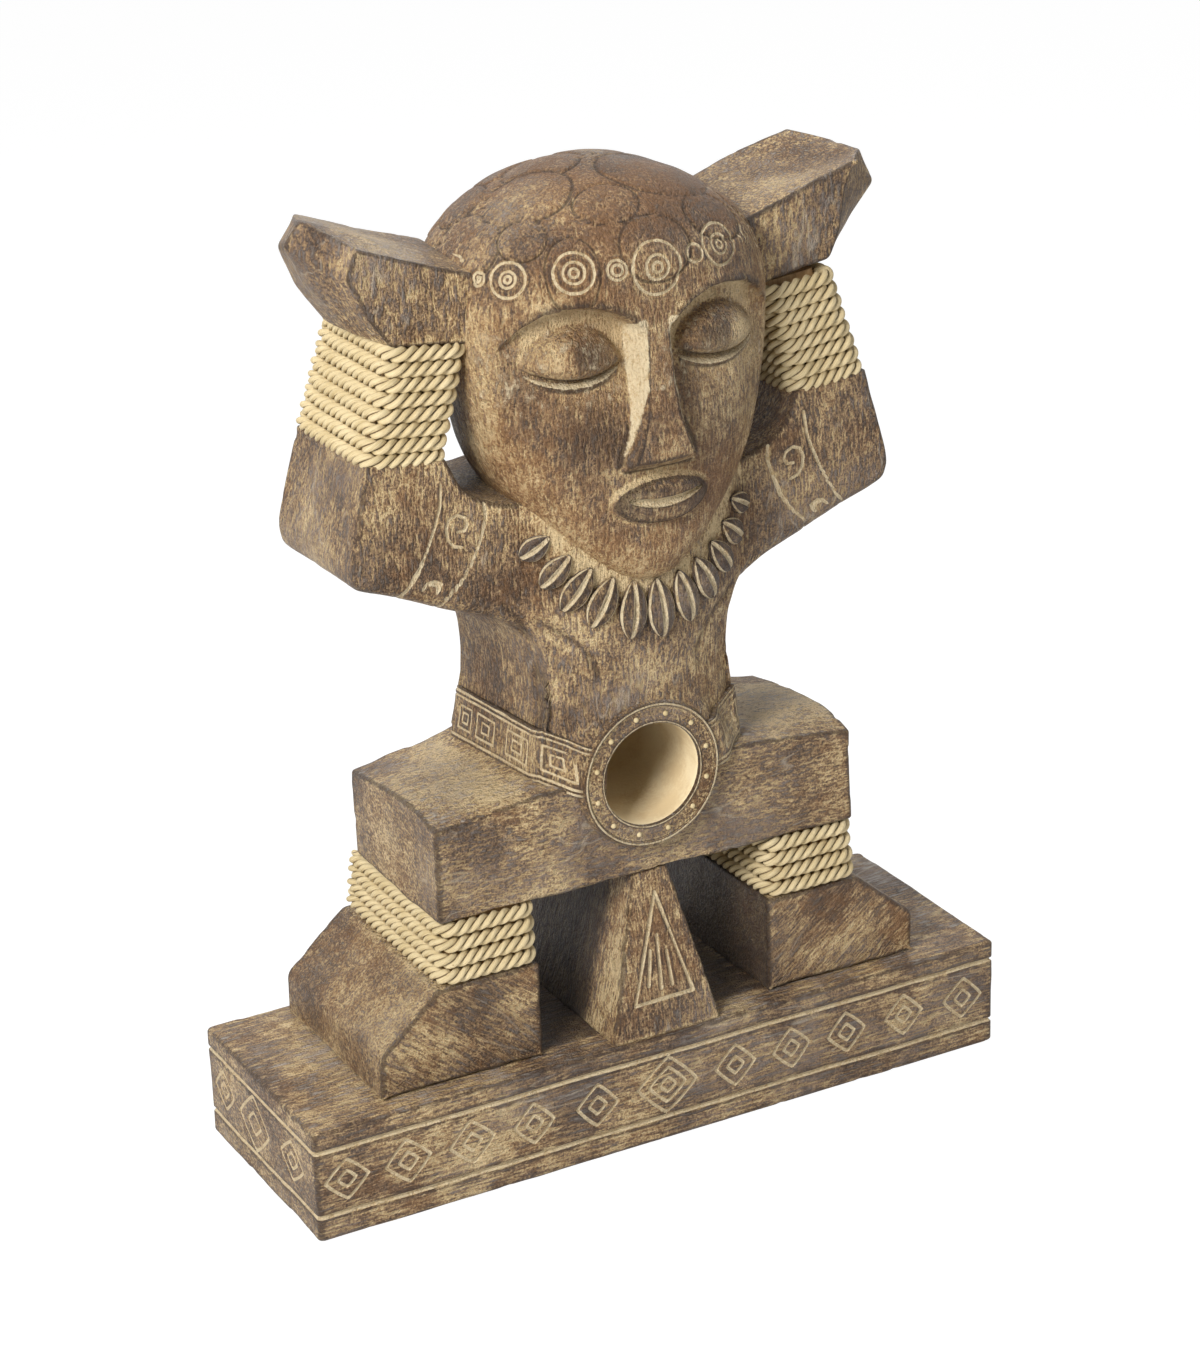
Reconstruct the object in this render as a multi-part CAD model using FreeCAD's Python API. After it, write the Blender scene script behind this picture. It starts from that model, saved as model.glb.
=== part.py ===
import FreeCAD, Part
import math
import os

from FreeCAD import Matrix, Vector

# A carved standing figure on a long plinth, put together from separately worked blocks.
# Frame: X to the right seen from the front, Y to the back, Z up, millimetres.
# The origin lies in the middle of the plinth's underside.

# ---- plinth ----
plinth_length = 400.0
plinth_depth = 134.0
plinth_height = 61.0
plinth_corner = 3.0
plinth_arris = 2.0
border_heights = (13.5, 49.5)
border_width = 2.8
border_depth = 1.8

# ---- feet, legs and apron ----
foot_inner_x = 66.0
foot_length = 90.0
foot_height = 52.0
foot_edge_height = 22.5
foot_edge_round = 4.0
foot_front_y = -54.0
foot_back_y = 60.0
ankle_length = 56.0
leg_height = 33.0
leg_taper = 2.5
leg_back_step = 2.0
leg_lean = 1.0
leg_turns = 4
apron_front_y = -65.5
apron_back_y = 58.0
apron_foot_width = 63.0
apron_top_width = 21.0
apron_lean = 15.5
apron_back_lean = 13.0

# ---- hip beam ----
hip_length = 239.0
hip_end_height = 50.0
hip_middle_height = 57.0
hip_crown = 4.5
hip_shoulder_length = 29.0
hip_flat_margin = 12.0
hip_front_y = -52.0
hip_back_y = 47.0

# ---- torso ----
torso_height = 147.0
waist_half_width = 51.0
hem_half_width = 61.0
shoulder_half_width = 62.0
armpit_height = 81.0
chest_side_y = -42.0
belly_front_y = -53.0
chest_front_y = -59.0
back_y = 44.0
back_bow = 6.0
back_spread = 9.0

# ---- arms ----
elbow_reach = 152.0
arm_rise = 27.0
arm_underside_slope = 0.45
elbow_half_depth = 40.0
elbow_round = 14.0
arm_shoulder_step = 2.0
armhole_inset = 7.0
armhole_rise = 10.0
armhole_round = 6.0
wrist_inner_x = 95.0
wrist_outer_x = 138.5
wrist_lean = 17.0
wrist_narrowing = 2.5
wrist_height = 56.0
wrist_tilt = 6.0
wrist_turns = 8
wrist_base_half_depth = 34.5
wrist_top_half_depth = 31.5
hand_height = 61.0
hand_reach = 62.0
hand_inner_x = 70.0
hand_half_depth = 29.5
hand_mid_y = -1.5

# ---- rope ----
rope_diameter = 7.6
rope_flattening = 1.1
rope_overhang = 1.2
post_corner = 2.0

# ---- head ----
chin_drop = 46.5
head_height = 199.5
head_half_width = 81.5
face_y = -71.0
nape_y = 50.0
head_seat_gap = 0.3

# ---- face ----
nose_height = 58.0
nose_rise = 67.5
nose_proud = 6.5
nose_bridge_proud = 1.6
nose_bridge_width = 13.0
nose_base_width = 31.0
nose_root_spread = 4.0
nose_root_depth = 16.0
eye_spacing = 77.0
eye_rise = 118.0
eye_yaw = 17.0
socket_rise = 8.0
socket_depth = 2.0
socket_radii = (31.3, 11.0, 17.8)
lid_rise = 1.0
lid_depth = 13.5
lid_radii = (25.9, 9.5, 13.0)
mouth_rise = 48.0
mouth_width = 48.0
lip_depth = 8.0
upper_lip = (4.2, 5.6)
lower_lip = (-4.6, 6.2)

# ---- necklace ----
shell_count = 11
shell_step = 13.7
neck_radius_x = 62.0
neck_radius_z = 58.4
shell_length = 33.0
shell_width = 14.4
shell_thickness = 13.0

# ---- navel ----
navel_rise = 52.0
navel_radius = 27.0
navel_depth = 74.0
cup_wall = 3.0
ring_width = 11.0
ring_proud = 6.0
ring_chamfer = 1.2
stud_count = 12
stud_radius = 1.7
stud_height = 1.2
stud_shank_share = 0.6
stud_bed = 1.5

# ---- hidden joinery ----
dowel_diameter = 12.0
dowel_slack = 0.15
dowel_grip = 28.0
screw_shank = 4.5
screw_head = 9.0
screw_length = 66.0
screw_recess = 6.0
screw_inset_inner = 12.0
screw_inset_outer = 22.0
leg_peg_ys = (-24.0, 26.0)
waist_peg_y = 8.0
shoulder_peg_ys = (-4.0, 26.0)
shoulder_peg_drop = 4.0
wrist_peg_y = 14.0
neck_peg_x = 22.0
neck_peg_y = -2.0
neck_peg_lift = 6.0
neck_peg_length = 61.6

# ---- levels that follow from the sizes above ----
ankle_z = plinth_height + foot_height
hip_z = ankle_z + leg_height
waist_z = hip_z + hip_middle_height
shoulder_z = waist_z + torso_height
armpit_z = waist_z + armpit_height
navel_z = hip_z + navel_rise
chin_z = shoulder_z - chin_drop
elbow_top_z = shoulder_z + arm_rise


def mirrored(shape):
    """The same piece on the figure's other side."""
    return shape.mirror(Vector(0, 0, 0), Vector(1, 0, 0))


def front_prism(outline, near_y, far_y):
    """A front outline of (x, z) points carried straight back from near_y to far_y."""
    corners = [Vector(x, near_y, z) for x, z in outline]
    face = Part.Face(Part.makePolygon(corners + corners[:1]))
    return face.extrude(Vector(0, far_y - near_y, 0))


def side_prism(outline, left_x, right_x):
    """A side outline of (y, z) points carried from left_x to right_x."""
    corners = [Vector(left_x, y, z) for y, z in outline]
    face = Part.Face(Part.makePolygon(corners + corners[:1]))
    return face.extrude(Vector(right_x - left_x, 0, 0))


def rounded_rectangle(half_x, half_y, corner, place):
    """A rectangle wire with quarter-round corners, centred on the local origin and then placed."""
    points = []
    for sign_x, sign_y, start in ((1, 1, 0), (-1, 1, 90), (-1, -1, 180), (1, -1, 270)):
        centre = Vector(sign_x * (half_x - corner), sign_y * (half_y - corner), 0)
        arc = []
        for turn in (0, 45, 90):
            angle = math.radians(start + turn)
            arc.append(centre + Vector(math.cos(angle), math.sin(angle), 0) * corner)
        points.append([place(point) for point in arc])
    edges = []
    for index, (first, middle, last) in enumerate(points):
        edges.append(Part.Arc(first, middle, last).toShape())
        edges.append(Part.LineSegment(last, points[(index + 1) % 4][0]).toShape())
    return Part.Wire(edges)


def dowel(start, end, diameter):
    """A plain round peg between two points."""
    axis = end - start
    return Part.makeCylinder(diameter / 2, axis.Length, start, axis)


def drilled(block, pegs):
    """The block with a hole for each peg, a little wider and longer than the peg."""
    for peg in pegs:
        start, end, diameter = peg
        along = (end - start).normalize() * (2 * dowel_slack)
        block = block.cut(dowel(start - along, end + along, diameter + 2 * dowel_slack))
    return block


def edges_at(shape, test):
    """The straight edges whose two ends both pass the test."""
    found = []
    for edge in shape.Edges:
        if edge.Vertexes and all(test(vertex.Point) for vertex in edge.Vertexes):
            found.append(edge)
    return found


def save(name, shape):
    """One STEP file per node."""
    shape.exportStep("parts/" + name + ".step")


os.makedirs("parts", exist_ok=True)


# ---- pegs: each is (start, end, diameter), given for the right side where it has a twin ----
leg_mid_x = foot_inner_x + ankle_length / 2
leg_pegs = []
for peg_y in leg_peg_ys:
    start = Vector(leg_mid_x, peg_y, plinth_height - dowel_grip)
    leg_pegs.append((start, Vector(leg_mid_x, peg_y, hip_z + dowel_grip), dowel_diameter))

apron_mid_y = (apron_front_y + apron_lean + apron_back_y - apron_back_lean) / 2
apron_peg = (
    Vector(0, apron_mid_y, plinth_height - dowel_grip),
    Vector(0, apron_mid_y, plinth_height + dowel_grip),
    dowel_diameter,
)

waist_peg_x = (hem_half_width + navel_radius + cup_wall - dowel_diameter / 4) / 2
waist_pegs = []
for peg_x in (-waist_peg_x, waist_peg_x):
    start = Vector(peg_x, waist_peg_y, waist_z - dowel_grip)
    waist_pegs.append((start, Vector(peg_x, waist_peg_y, waist_z + dowel_grip), dowel_diameter))

shoulder_peg_z = (armpit_z + shoulder_z) / 2 - shoulder_peg_drop
shoulder_pegs = []
for peg_y in shoulder_peg_ys:
    start = Vector(shoulder_half_width - dowel_grip, peg_y, shoulder_peg_z)
    end = Vector(shoulder_half_width + dowel_grip, peg_y, shoulder_peg_z)
    shoulder_pegs.append((start, end, dowel_diameter))

wrist_mid_x = (wrist_inner_x + wrist_outer_x) / 2
wrist_foot = Vector(wrist_mid_x, 0, elbow_top_z)
wrist_axis = Vector(-wrist_lean, 0, wrist_height)
wrist_unit = Vector(wrist_axis).normalize()
wrist_pegs = []
for peg_y in (-wrist_peg_y, wrist_peg_y):
    base = wrist_foot + Vector(0, peg_y, 0)
    start = base - wrist_unit * dowel_grip
    wrist_pegs.append((start, base + wrist_axis + wrist_unit * dowel_grip, dowel_diameter))

neck_pegs = []
for peg_x in (-neck_peg_x, neck_peg_x):
    start = Vector(peg_x, neck_peg_y, chin_z + neck_peg_lift)
    neck_pegs.append((start, start + Vector(0, 0, neck_peg_length), dowel_diameter))

screw_places = []
screw_y = (foot_front_y + foot_back_y) / 2
for screw_x in (foot_inner_x + screw_inset_inner, foot_inner_x + foot_length - screw_inset_outer):
    for side in (-1, 1):
        screw_places.append(Vector(side * screw_x, screw_y, screw_recess))


def with_twins(pegs):
    """The pegs of the right side and their mirror images."""
    twins = []
    for start, end, diameter in pegs:
        twins.append((Vector(-start.x, start.y, start.z), Vector(-end.x, end.y, end.z), diameter))
    return pegs + twins


# ---- plinth: a ruled stack of rounded rectangles, nicked in by the two border grooves ----
def plinth_section(height, inset):
    place = lambda point: point + Vector(0, 0, height)
    corner = max(plinth_corner - inset, 0.5)
    return rounded_rectangle(plinth_length / 2 - inset, plinth_depth / 2 - inset, corner, place)


levels = [(0.0, plinth_arris / 2), (plinth_arris / 2, 0.0)]
for border in border_heights:
    levels.append((border - border_width / 2, 0.0))
    levels.append((border, border_depth))
    levels.append((border + border_width / 2, 0.0))
levels.append((plinth_height - plinth_arris, 0.0))
levels.append((plinth_height, plinth_arris))
plinth = Part.makeLoft([plinth_section(z, inset) for z, inset in levels], True, True)
plinth = drilled(plinth, with_twins(leg_pegs) + [apron_peg])
screws = []
for place in screw_places:
    head = Part.makeCone(screw_head / 2, screw_shank / 2, screw_head / 2, place)
    shank = Part.makeCylinder(screw_shank / 2, screw_length, place)
    screws.append(head.fuse(shank))
    clearance = dowel_slack * 2
    recess = Part.makeCylinder(screw_head / 2 + clearance, place.z, Vector(place.x, place.y, 0))
    sink = Part.makeCone(
        screw_head / 2 + clearance, screw_shank / 2 + clearance, screw_head / 2 + clearance, place
    )
    bore = Part.makeCylinder(screw_shank / 2 + clearance, plinth_height, place)
    plinth = plinth.cut(recess).cut(sink).cut(bore)
save("plinth", plinth)
save("plinth_screws", Part.makeCompound(screws))


# ---- feet: a block sloped down from the ankle to a low outer edge ----
foot_outer_x = foot_inner_x + foot_length
foot_edge_z = plinth_height + foot_edge_height
foot_outline = [
    (foot_inner_x, plinth_height),
    (foot_outer_x, plinth_height),
    (foot_outer_x, foot_edge_z),
    (foot_inner_x + ankle_length, ankle_z),
    (foot_inner_x, ankle_z),
]
foot = front_prism(foot_outline, foot_front_y, foot_back_y)
shoulder_edges = edges_at(foot, lambda p: abs(p.x - foot_outer_x) < 0.1 and abs(p.z - foot_edge_z) < 0.1)
foot = foot.makeFillet(foot_edge_round, shoulder_edges)
foot = drilled(foot, leg_pegs)
for place in screw_places:
    pilot = Part.makeCylinder(screw_shank / 2 + dowel_slack, screw_length + 1.0, place)
    foot = foot.cut(pilot)
save("foot_right", foot)
save("foot_left", mirrored(foot))


# ---- rope windings: each turn swells out from a post and nips in where it meets the next ----
def winding(section, turns):
    """A stack of turns between section(0) and section(1), hollow for its post."""
    swell = ((0.0, 0.45), (0.22, 0.86), (0.5, 1.0), (0.78, 0.86))
    wires = []
    for turn in range(turns):
        for share, bulge in swell:
            wires.append(section((turn + share) / turns, rope_diameter * bulge))
    wires.append(section(1.0, rope_diameter * swell[0][1]))
    outside = Part.makeLoft(wires, True, True)
    return outside.cut(post(section, rope_flattening / 2))


def post(section, growth):
    """The tapered post itself, or with a growth the hollow that it needs."""
    return Part.makeLoft([section(0.0, growth), section(1.0, growth)], True, True)


def leg_section(share, growth):
    """A level slice of the leg post at a share of its height, grown outwards."""
    width = ankle_length - leg_taper * share
    back_y = foot_back_y - leg_back_step
    depth = back_y - foot_front_y - 2 * leg_taper * share
    half_x = width / 2 + rope_overhang - rope_diameter + growth
    half_y = depth / 2 + rope_overhang - rope_diameter + growth
    mid_y = (foot_front_y + back_y) / 2 - leg_lean * share
    middle = Vector(foot_inner_x + width / 2, mid_y, ankle_z + leg_height * share)
    return rounded_rectangle(half_x, half_y, post_corner + growth, lambda point: point + middle)


leg_post = drilled(post(leg_section, 0.0), leg_pegs)
leg_rope = winding(leg_section, leg_turns)
save("leg_post_right", leg_post)
save("leg_post_left", mirrored(leg_post))
save("leg_rope_right", leg_rope)
save("leg_rope_left", mirrored(leg_rope))


# ---- apron: a deep wedge between the legs that narrows and leans in up to the beam ----
def apron_section(height, width, front_y, back_y):
    """A level slice of the apron."""
    corners = [
        Vector(-width / 2, front_y, height),
        Vector(width / 2, front_y, height),
        Vector(width / 2, back_y, height),
        Vector(-width / 2, back_y, height),
    ]
    return Part.makePolygon(corners + corners[:1])


apron = Part.makeLoft(
    [
        apron_section(plinth_height, apron_foot_width, apron_front_y, apron_back_y),
        apron_section(hip_z, apron_top_width, apron_front_y + apron_lean, apron_back_y - apron_back_lean),
    ],
    True,
    True,
)
apron = drilled(apron, [apron_peg])
save("apron_wedge", apron)


# ---- hip beam: flat under the torso, with a top that drops and crowns towards its ends ----
def beam_section(x, edge_z, crown):
    """A slice across the beam: three straight sides and a crowned top."""
    front_foot = Vector(x, hip_front_y, hip_z)
    back_foot = Vector(x, hip_back_y, hip_z)
    front_top = Vector(x, hip_front_y, edge_z)
    back_top = Vector(x, hip_back_y, edge_z)
    middle_top = Vector(x, (hip_front_y + hip_back_y) / 2, edge_z + crown)
    edges = [
        Part.LineSegment(back_foot, front_foot).toShape(),
        Part.LineSegment(front_foot, front_top).toShape(),
        Part.Arc(front_top, middle_top, back_top).toShape(),
        Part.LineSegment(back_top, back_foot).toShape(),
    ]
    return Part.Wire(edges)


hip_half = hip_length / 2
hip_drop = hip_middle_height - hip_end_height
flat_crown = 0.05  # the arc of a slice needs some rise; the torso's seat is trimmed flat below
beam_stations = [  # x of the slice and its shares of the drop and of the crown
    (hip_half, 1.0, 1.0),
    (hip_half - hip_shoulder_length, 0.55, 0.55),
    (hem_half_width + hip_flat_margin, 0.12, 0.12),
    (hem_half_width, 0.0, 0.0),
]
wires = []
for x, drop_share, crown_share in beam_stations:
    crown = max(hip_crown * crown_share, flat_crown)
    wires.append(beam_section(-x, waist_z - hip_drop * drop_share, crown))
for x, drop_share, crown_share in reversed(beam_stations):
    crown = max(hip_crown * crown_share, flat_crown)
    wires.append(beam_section(x, waist_z - hip_drop * drop_share, crown))
hip_beam = Part.makeLoft(wires, True, True)
trim = Part.makeBox(2 * hem_half_width, plinth_depth, hip_crown)
trim.translate(Vector(-hem_half_width, -plinth_depth / 2, waist_z))
hip_beam = hip_beam.cut(trim)

cup_radius = navel_radius + cup_wall
cup_length = navel_depth + cup_wall
forward = Vector(0, 1, 0)
cup_room = Part.makeCylinder(
    cup_radius + dowel_slack, cup_length + dowel_slack, Vector(0, hip_front_y, navel_z), forward
)
hip_beam = drilled(hip_beam.cut(cup_room), with_twins(leg_pegs) + waist_pegs)
save("hip_beam", hip_beam)


# ---- torso: slices with a bowed front and back, drawn in to the waist and out to the armpits ----
def torso_section(height, half_width, side_y, front_y, spread):
    """A level slice; the back is wider than the front by the spread on each side."""
    back_half = half_width + spread
    corner_y = back_y - back_bow
    front = Part.Arc(
        Vector(-half_width, side_y, height), Vector(0, front_y, height), Vector(half_width, side_y, height)
    )
    back = Part.Arc(
        Vector(back_half, corner_y, height), Vector(0, back_y, height), Vector(-back_half, corner_y, height)
    )
    edges = [
        front.toShape(),
        Part.LineSegment(front.EndPoint, back.StartPoint).toShape(),
        back.toShape(),
        Part.LineSegment(back.EndPoint, front.StartPoint).toShape(),
    ]
    return Part.Wire(edges)


# each is a share of the height up to the armpit and a share of the way out from waist to hem or armpit
flare_stations = (
    (0.0, 1.0), (0.04, 0.68), (0.1, 0.4), (0.18, 0.2), (0.32, 0.05), (0.5, 0.0),
    (0.68, 0.02), (0.8, 0.12), (0.88, 0.33), (0.95, 0.68), (1.0, 1.0),
)
wires = []
for share, flare in flare_stations:
    outer = hem_half_width if share < 0.5 else shoulder_half_width
    half_width = waist_half_width + (outer - waist_half_width) * flare
    front_y = belly_front_y + (chest_front_y - belly_front_y) * share
    spread = back_spread * (1.0 - flare)
    height = waist_z + armpit_height * share
    wires.append(torso_section(height, half_width, chest_side_y, front_y, spread))
waist = Part.makeLoft(wires, True, False)
chest = Part.Face(torso_section(armpit_z, shoulder_half_width, chest_side_y, chest_front_y, 0.0))
chest = chest.extrude(Vector(0, 0, shoulder_z - armpit_z))
torso = waist.fuse(chest)


# ---- head: level slices that follow four profiles, each drawn against the share of the height ----
def profile(stations):
    """A smooth curve through (share, value) stations that never overshoots between them."""
    shares = [share for share, value in stations]
    values = [value for share, value in stations]
    rises = []
    for index in range(len(shares) - 1):
        rises.append((values[index + 1] - values[index]) / (shares[index + 1] - shares[index]))
    slopes = [rises[0]]
    for before, after in zip(rises, rises[1:]):
        slopes.append(2 * before * after / (before + after) if before * after > 0 else 0.0)
    slopes.append(rises[-1])

    def value_at(share):
        index = 0
        while index < len(rises) - 1 and share > shares[index + 1]:
            index += 1
        step = shares[index + 1] - shares[index]
        t = (share - shares[index]) / step
        start = (1 + 2 * t) * (1 - t) ** 2 * values[index] + t * (1 - t) ** 2 * step * slopes[index]
        end = t * t * (3 - 2 * t) * values[index + 1] - t * t * (1 - t) * step * slopes[index + 1]
        return start + end

    return value_at


# shares of the head's half width, of the face's y, of the nape's y and again of the face's y
head_width = profile((
    (0.0, 0.10), (0.03, 0.23), (0.10, 0.45), (0.21, 0.72), (0.30, 0.855), (0.40, 0.93), (0.58, 1.0),
    (0.69, 0.997), (0.785, 0.952), (0.855, 0.85), (0.915, 0.68), (0.957, 0.48), (0.985, 0.26), (1.0, 0.05),
))
head_front = profile((
    (0.0, 0.80), (0.03, 0.92), (0.10, 0.985), (0.21, 0.962), (0.40, 0.975), (0.69, 1.0), (0.785, 0.99),
    (0.855, 0.91), (0.915, 0.775), (0.957, 0.61), (0.985, 0.40), (1.0, 0.16),
))
head_back = profile((
    (0.0, -0.85), (0.03, -0.54), (0.10, 0.09), (0.21, 0.66), (0.30, 0.84), (0.45, 0.935), (0.69, 0.966),
    (0.855, 1.0), (0.915, 0.90), (0.957, 0.64), (0.985, 0.34), (1.0, 0.04),
))
head_widest = profile(((0.0, 0.70), (0.10, 0.56), (0.30, 0.37), (0.69, 0.305), (0.85, 0.19), (1.0, 0.07)))
front_squareness = 2.25
back_squareness = profile((
    (0.0, 2.7), (0.20, 2.45), (0.40, 1.80), (0.58, 1.6), (0.68, 1.75), (0.75, 3.0), (0.80, 3.9), (0.86, 3.0),
    (1.0, 2.6),
))
head_stations = (
    0.0, 0.03, 0.07, 0.12, 0.20, 0.30, 0.42, 0.55, 0.67, 0.74, 0.80, 0.87, 0.92, 0.96, 0.985, 1.0,
)
slice_points = 22


def head_point(rise, angle, growth):
    """A point of the head's skin: a squared-off ellipse, blunter or sharper behind its widest line."""
    widest_y = face_y * head_widest(rise)
    if math.sin(angle) < 0:
        squareness = front_squareness
        half_y = widest_y - face_y * head_front(rise)
    else:
        squareness = back_squareness(rise)
        half_y = nape_y * head_back(rise) - widest_y
    reach_x = math.copysign(abs(math.cos(angle)) ** (2 / squareness), math.cos(angle))
    reach_y = math.copysign(abs(math.sin(angle)) ** (2 / squareness), math.sin(angle))
    x = (head_half_width * head_width(rise) + growth) * reach_x
    return Vector(x, widest_y + (half_y + growth) * reach_y, chin_z + head_height * rise - growth)


def head_form(growth):
    """The plain head without its features, or grown for the seats that hold it."""
    wires = []
    for rise in head_stations:
        angles = [2 * math.pi * step / slice_points for step in range(slice_points)]
        curve = Part.BSplineCurve()
        curve.interpolate([head_point(rise, angle, growth) for angle in angles], PeriodicFlag=True)
        wires.append(Part.Wire(curve.toShape()))
    return Part.makeLoft(wires, True, False)


def ellipsoid(centre, radii, yaw):
    """A ball stretched along its three axes, then turned about the vertical by the yaw."""
    stretch = Matrix()
    stretch.scale(*radii)
    ball = Part.makeSphere(1.0).transformGeometry(stretch)
    ball.rotate(Vector(0, 0, 0), Vector(0, 0, 1), yaw)
    ball.translate(centre)
    return ball


head_seat = head_form(head_seat_gap)
head = head_form(0.0)

eye_z = chin_z + eye_rise
eye_x = eye_spacing / 2
socket = ellipsoid(Vector(eye_x, face_y + socket_depth, eye_z + socket_rise), socket_radii, eye_yaw)
head = head.cut(socket).cut(mirrored(socket))
lid = ellipsoid(Vector(eye_x, face_y + lid_depth, eye_z + lid_rise), lid_radii, eye_yaw)
head = head.fuse(lid).fuse(mirrored(lid))


def nose_section(height, front_half, proud):
    """A slice of the nose, wider at its root than on its ridge."""
    root_half = front_half + nose_root_spread
    corners = [
        Vector(-front_half, face_y - proud, height),
        Vector(front_half, face_y - proud, height),
        Vector(root_half, face_y + nose_root_depth, height),
        Vector(-root_half, face_y + nose_root_depth, height),
    ]
    return Part.makePolygon(corners + corners[:1])


nose_foot_z = chin_z + nose_rise
nose = Part.makeLoft(
    [
        nose_section(nose_foot_z, nose_base_width / 2, nose_proud),
        nose_section(nose_foot_z + nose_height, nose_bridge_width / 2, nose_bridge_proud),
    ],
    True,
    True,
)
head = head.fuse(nose)

mouth_z = chin_z + mouth_rise
for lift, half_height in (upper_lip, lower_lip):
    middle = Vector(0, face_y + lip_depth / 2, mouth_z + lift)
    lip = ellipsoid(middle, (mouth_width / 2, lip_depth, half_height), 0.0)
    head = head.fuse(lip)
head = drilled(head, neck_pegs)
save("head", head)


# ---- torso's openings: the cup and its ring, the head's seat and the pegs ----
ring_radius = navel_radius + ring_width
ring_room_length = hip_front_y - chest_front_y + ring_proud
ring_room = Part.makeCylinder(
    ring_radius + dowel_slack, ring_room_length, Vector(0, hip_front_y, navel_z), -forward
)
torso = torso.cut(cup_room).cut(ring_room).cut(head_seat)
torso = drilled(torso, waist_pegs + with_twins(shoulder_pegs) + neck_pegs)
save("torso", torso)


# ---- upper arms: one block from the shoulder out to the elbow and up to the wrist binding ----
tilt = math.radians(wrist_tilt)
elbow_corner_z = armpit_z + arm_underside_slope * (elbow_reach - shoulder_half_width)
arm_outline = [
    (shoulder_half_width, armpit_z),
    (elbow_reach, elbow_corner_z),
    (wrist_outer_x, elbow_top_z + math.tan(tilt) * (wrist_outer_x - wrist_mid_x)),
    (wrist_inner_x, elbow_top_z + math.tan(tilt) * (wrist_inner_x - wrist_mid_x)),
    (wrist_inner_x - armhole_inset, shoulder_z + armhole_rise),
    (shoulder_half_width, shoulder_z - arm_shoulder_step),
]
overshoot = 4.0
arm_side_foot_z = armpit_z - overshoot
arm_side_top_z = elbow_top_z + overshoot
arm_side = [
    (-elbow_half_depth, arm_side_foot_z),
    (elbow_half_depth, arm_side_foot_z),
    (elbow_half_depth, shoulder_z),
    (wrist_base_half_depth, arm_side_top_z),
    (-wrist_base_half_depth, arm_side_top_z),
    (-elbow_half_depth, shoulder_z),
]
arm = front_prism(arm_outline, -elbow_half_depth, elbow_half_depth)
arm = arm.common(side_prism(arm_side, shoulder_half_width, elbow_reach + overshoot))


def on_underside(point):
    """Whether a point lies on the sloping underside of the upper arm."""
    return abs(point.z - armpit_z - arm_underside_slope * (point.x - shoulder_half_width)) < 0.1


long_edges = edges_at(arm, lambda p: on_underside(p) and abs(abs(p.y) - elbow_half_depth) < 0.1)
long_edges = [edge for edge in long_edges if edge.BoundBox.XLength > elbow_round]
arm = arm.makeFillet(elbow_round, long_edges)
elbow_edges = []
for edge in arm.Edges:
    box = edge.BoundBox
    if box.XMin > elbow_reach - elbow_round * 0.6 and box.ZMax < elbow_corner_z + elbow_round:
        elbow_edges.append(edge)
arm = arm.makeFillet(elbow_round * 0.9, elbow_edges)
armhole_edge = edges_at(arm, lambda p: abs(p.x - wrist_inner_x + armhole_inset) < 0.1)
arm = arm.makeFillet(armhole_round, armhole_edge)
arm = drilled(arm, shoulder_pegs + wrist_pegs)
save("upper_arm_right", arm.cut(head_seat))
save("upper_arm_left", mirrored(arm).cut(head_seat))


# ---- wrists: a post that leans inwards, bound with rope, its slices tilted outer side up ----
def wrist_section(share, growth):
    """A tilted slice of the wrist post at a share of its height, grown outwards."""
    half_x = (wrist_outer_x - wrist_inner_x) / 2 + rope_overhang - wrist_narrowing * share / 2
    half_y = wrist_base_half_depth + (wrist_top_half_depth - wrist_base_half_depth) * share + rope_overhang
    middle = wrist_foot + wrist_axis * share
    place = lambda p: middle + Vector(p.x * math.cos(tilt), p.y, p.x * math.sin(tilt))
    inset = growth - rope_diameter
    return rounded_rectangle(half_x + inset, half_y + inset, post_corner + growth, place)


wrist_post = drilled(post(wrist_section, 0.0), wrist_pegs)
wrist_rope = winding(wrist_section, wrist_turns)
save("wrist_post_right", wrist_post)
save("wrist_post_left", mirrored(wrist_post))
save("wrist_rope_right", wrist_rope.cut(head_seat))
save("wrist_rope_left", mirrored(wrist_rope).cut(head_seat))


# ---- hands: horns that flare up and out from the binding to a blunt nose, each cut by eye ----
hand_z = elbow_top_z + wrist_height
hand_mid_x = wrist_mid_x - wrist_lean

# slices from front to back: shares of the half depth from the hand's middle, of the reach at the
# outer foot, of (reach, height) at the lower ridge, the nose and the outer top, and of the height
# where the top meets the head
left_hand_slices = (
    (-1.0, 0.29, (0.45, 0.21), (0.60, 0.54), (0.53, 0.81), 0.45),
    (-0.19, 0.46, (0.76, 0.47), (0.99, 0.83), (0.81, 1.0), 0.49),
    (0.39, 0.52, (0.76, 0.41), (0.87, 0.72), (0.75, 0.94), 0.51),
    (1.0, 0.50, (0.57, 0.38), (0.63, 0.66), (0.57, 0.88), 0.51),
)
right_hand_slices = (
    (-1.0, 0.32, (0.41, 0.36), (0.44, 0.67), (0.55, 0.88), 0.54),
    (-0.19, 0.54, (0.76, 0.31), (1.0, 0.57), (0.84, 0.88), 0.59),
    (0.39, 0.60, (0.79, 0.34), (0.97, 0.61), (0.83, 0.88), 0.62),
    (1.0, 0.50, (0.58, 0.41), (0.75, 0.74), (0.58, 0.95), 0.63),
)


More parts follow.
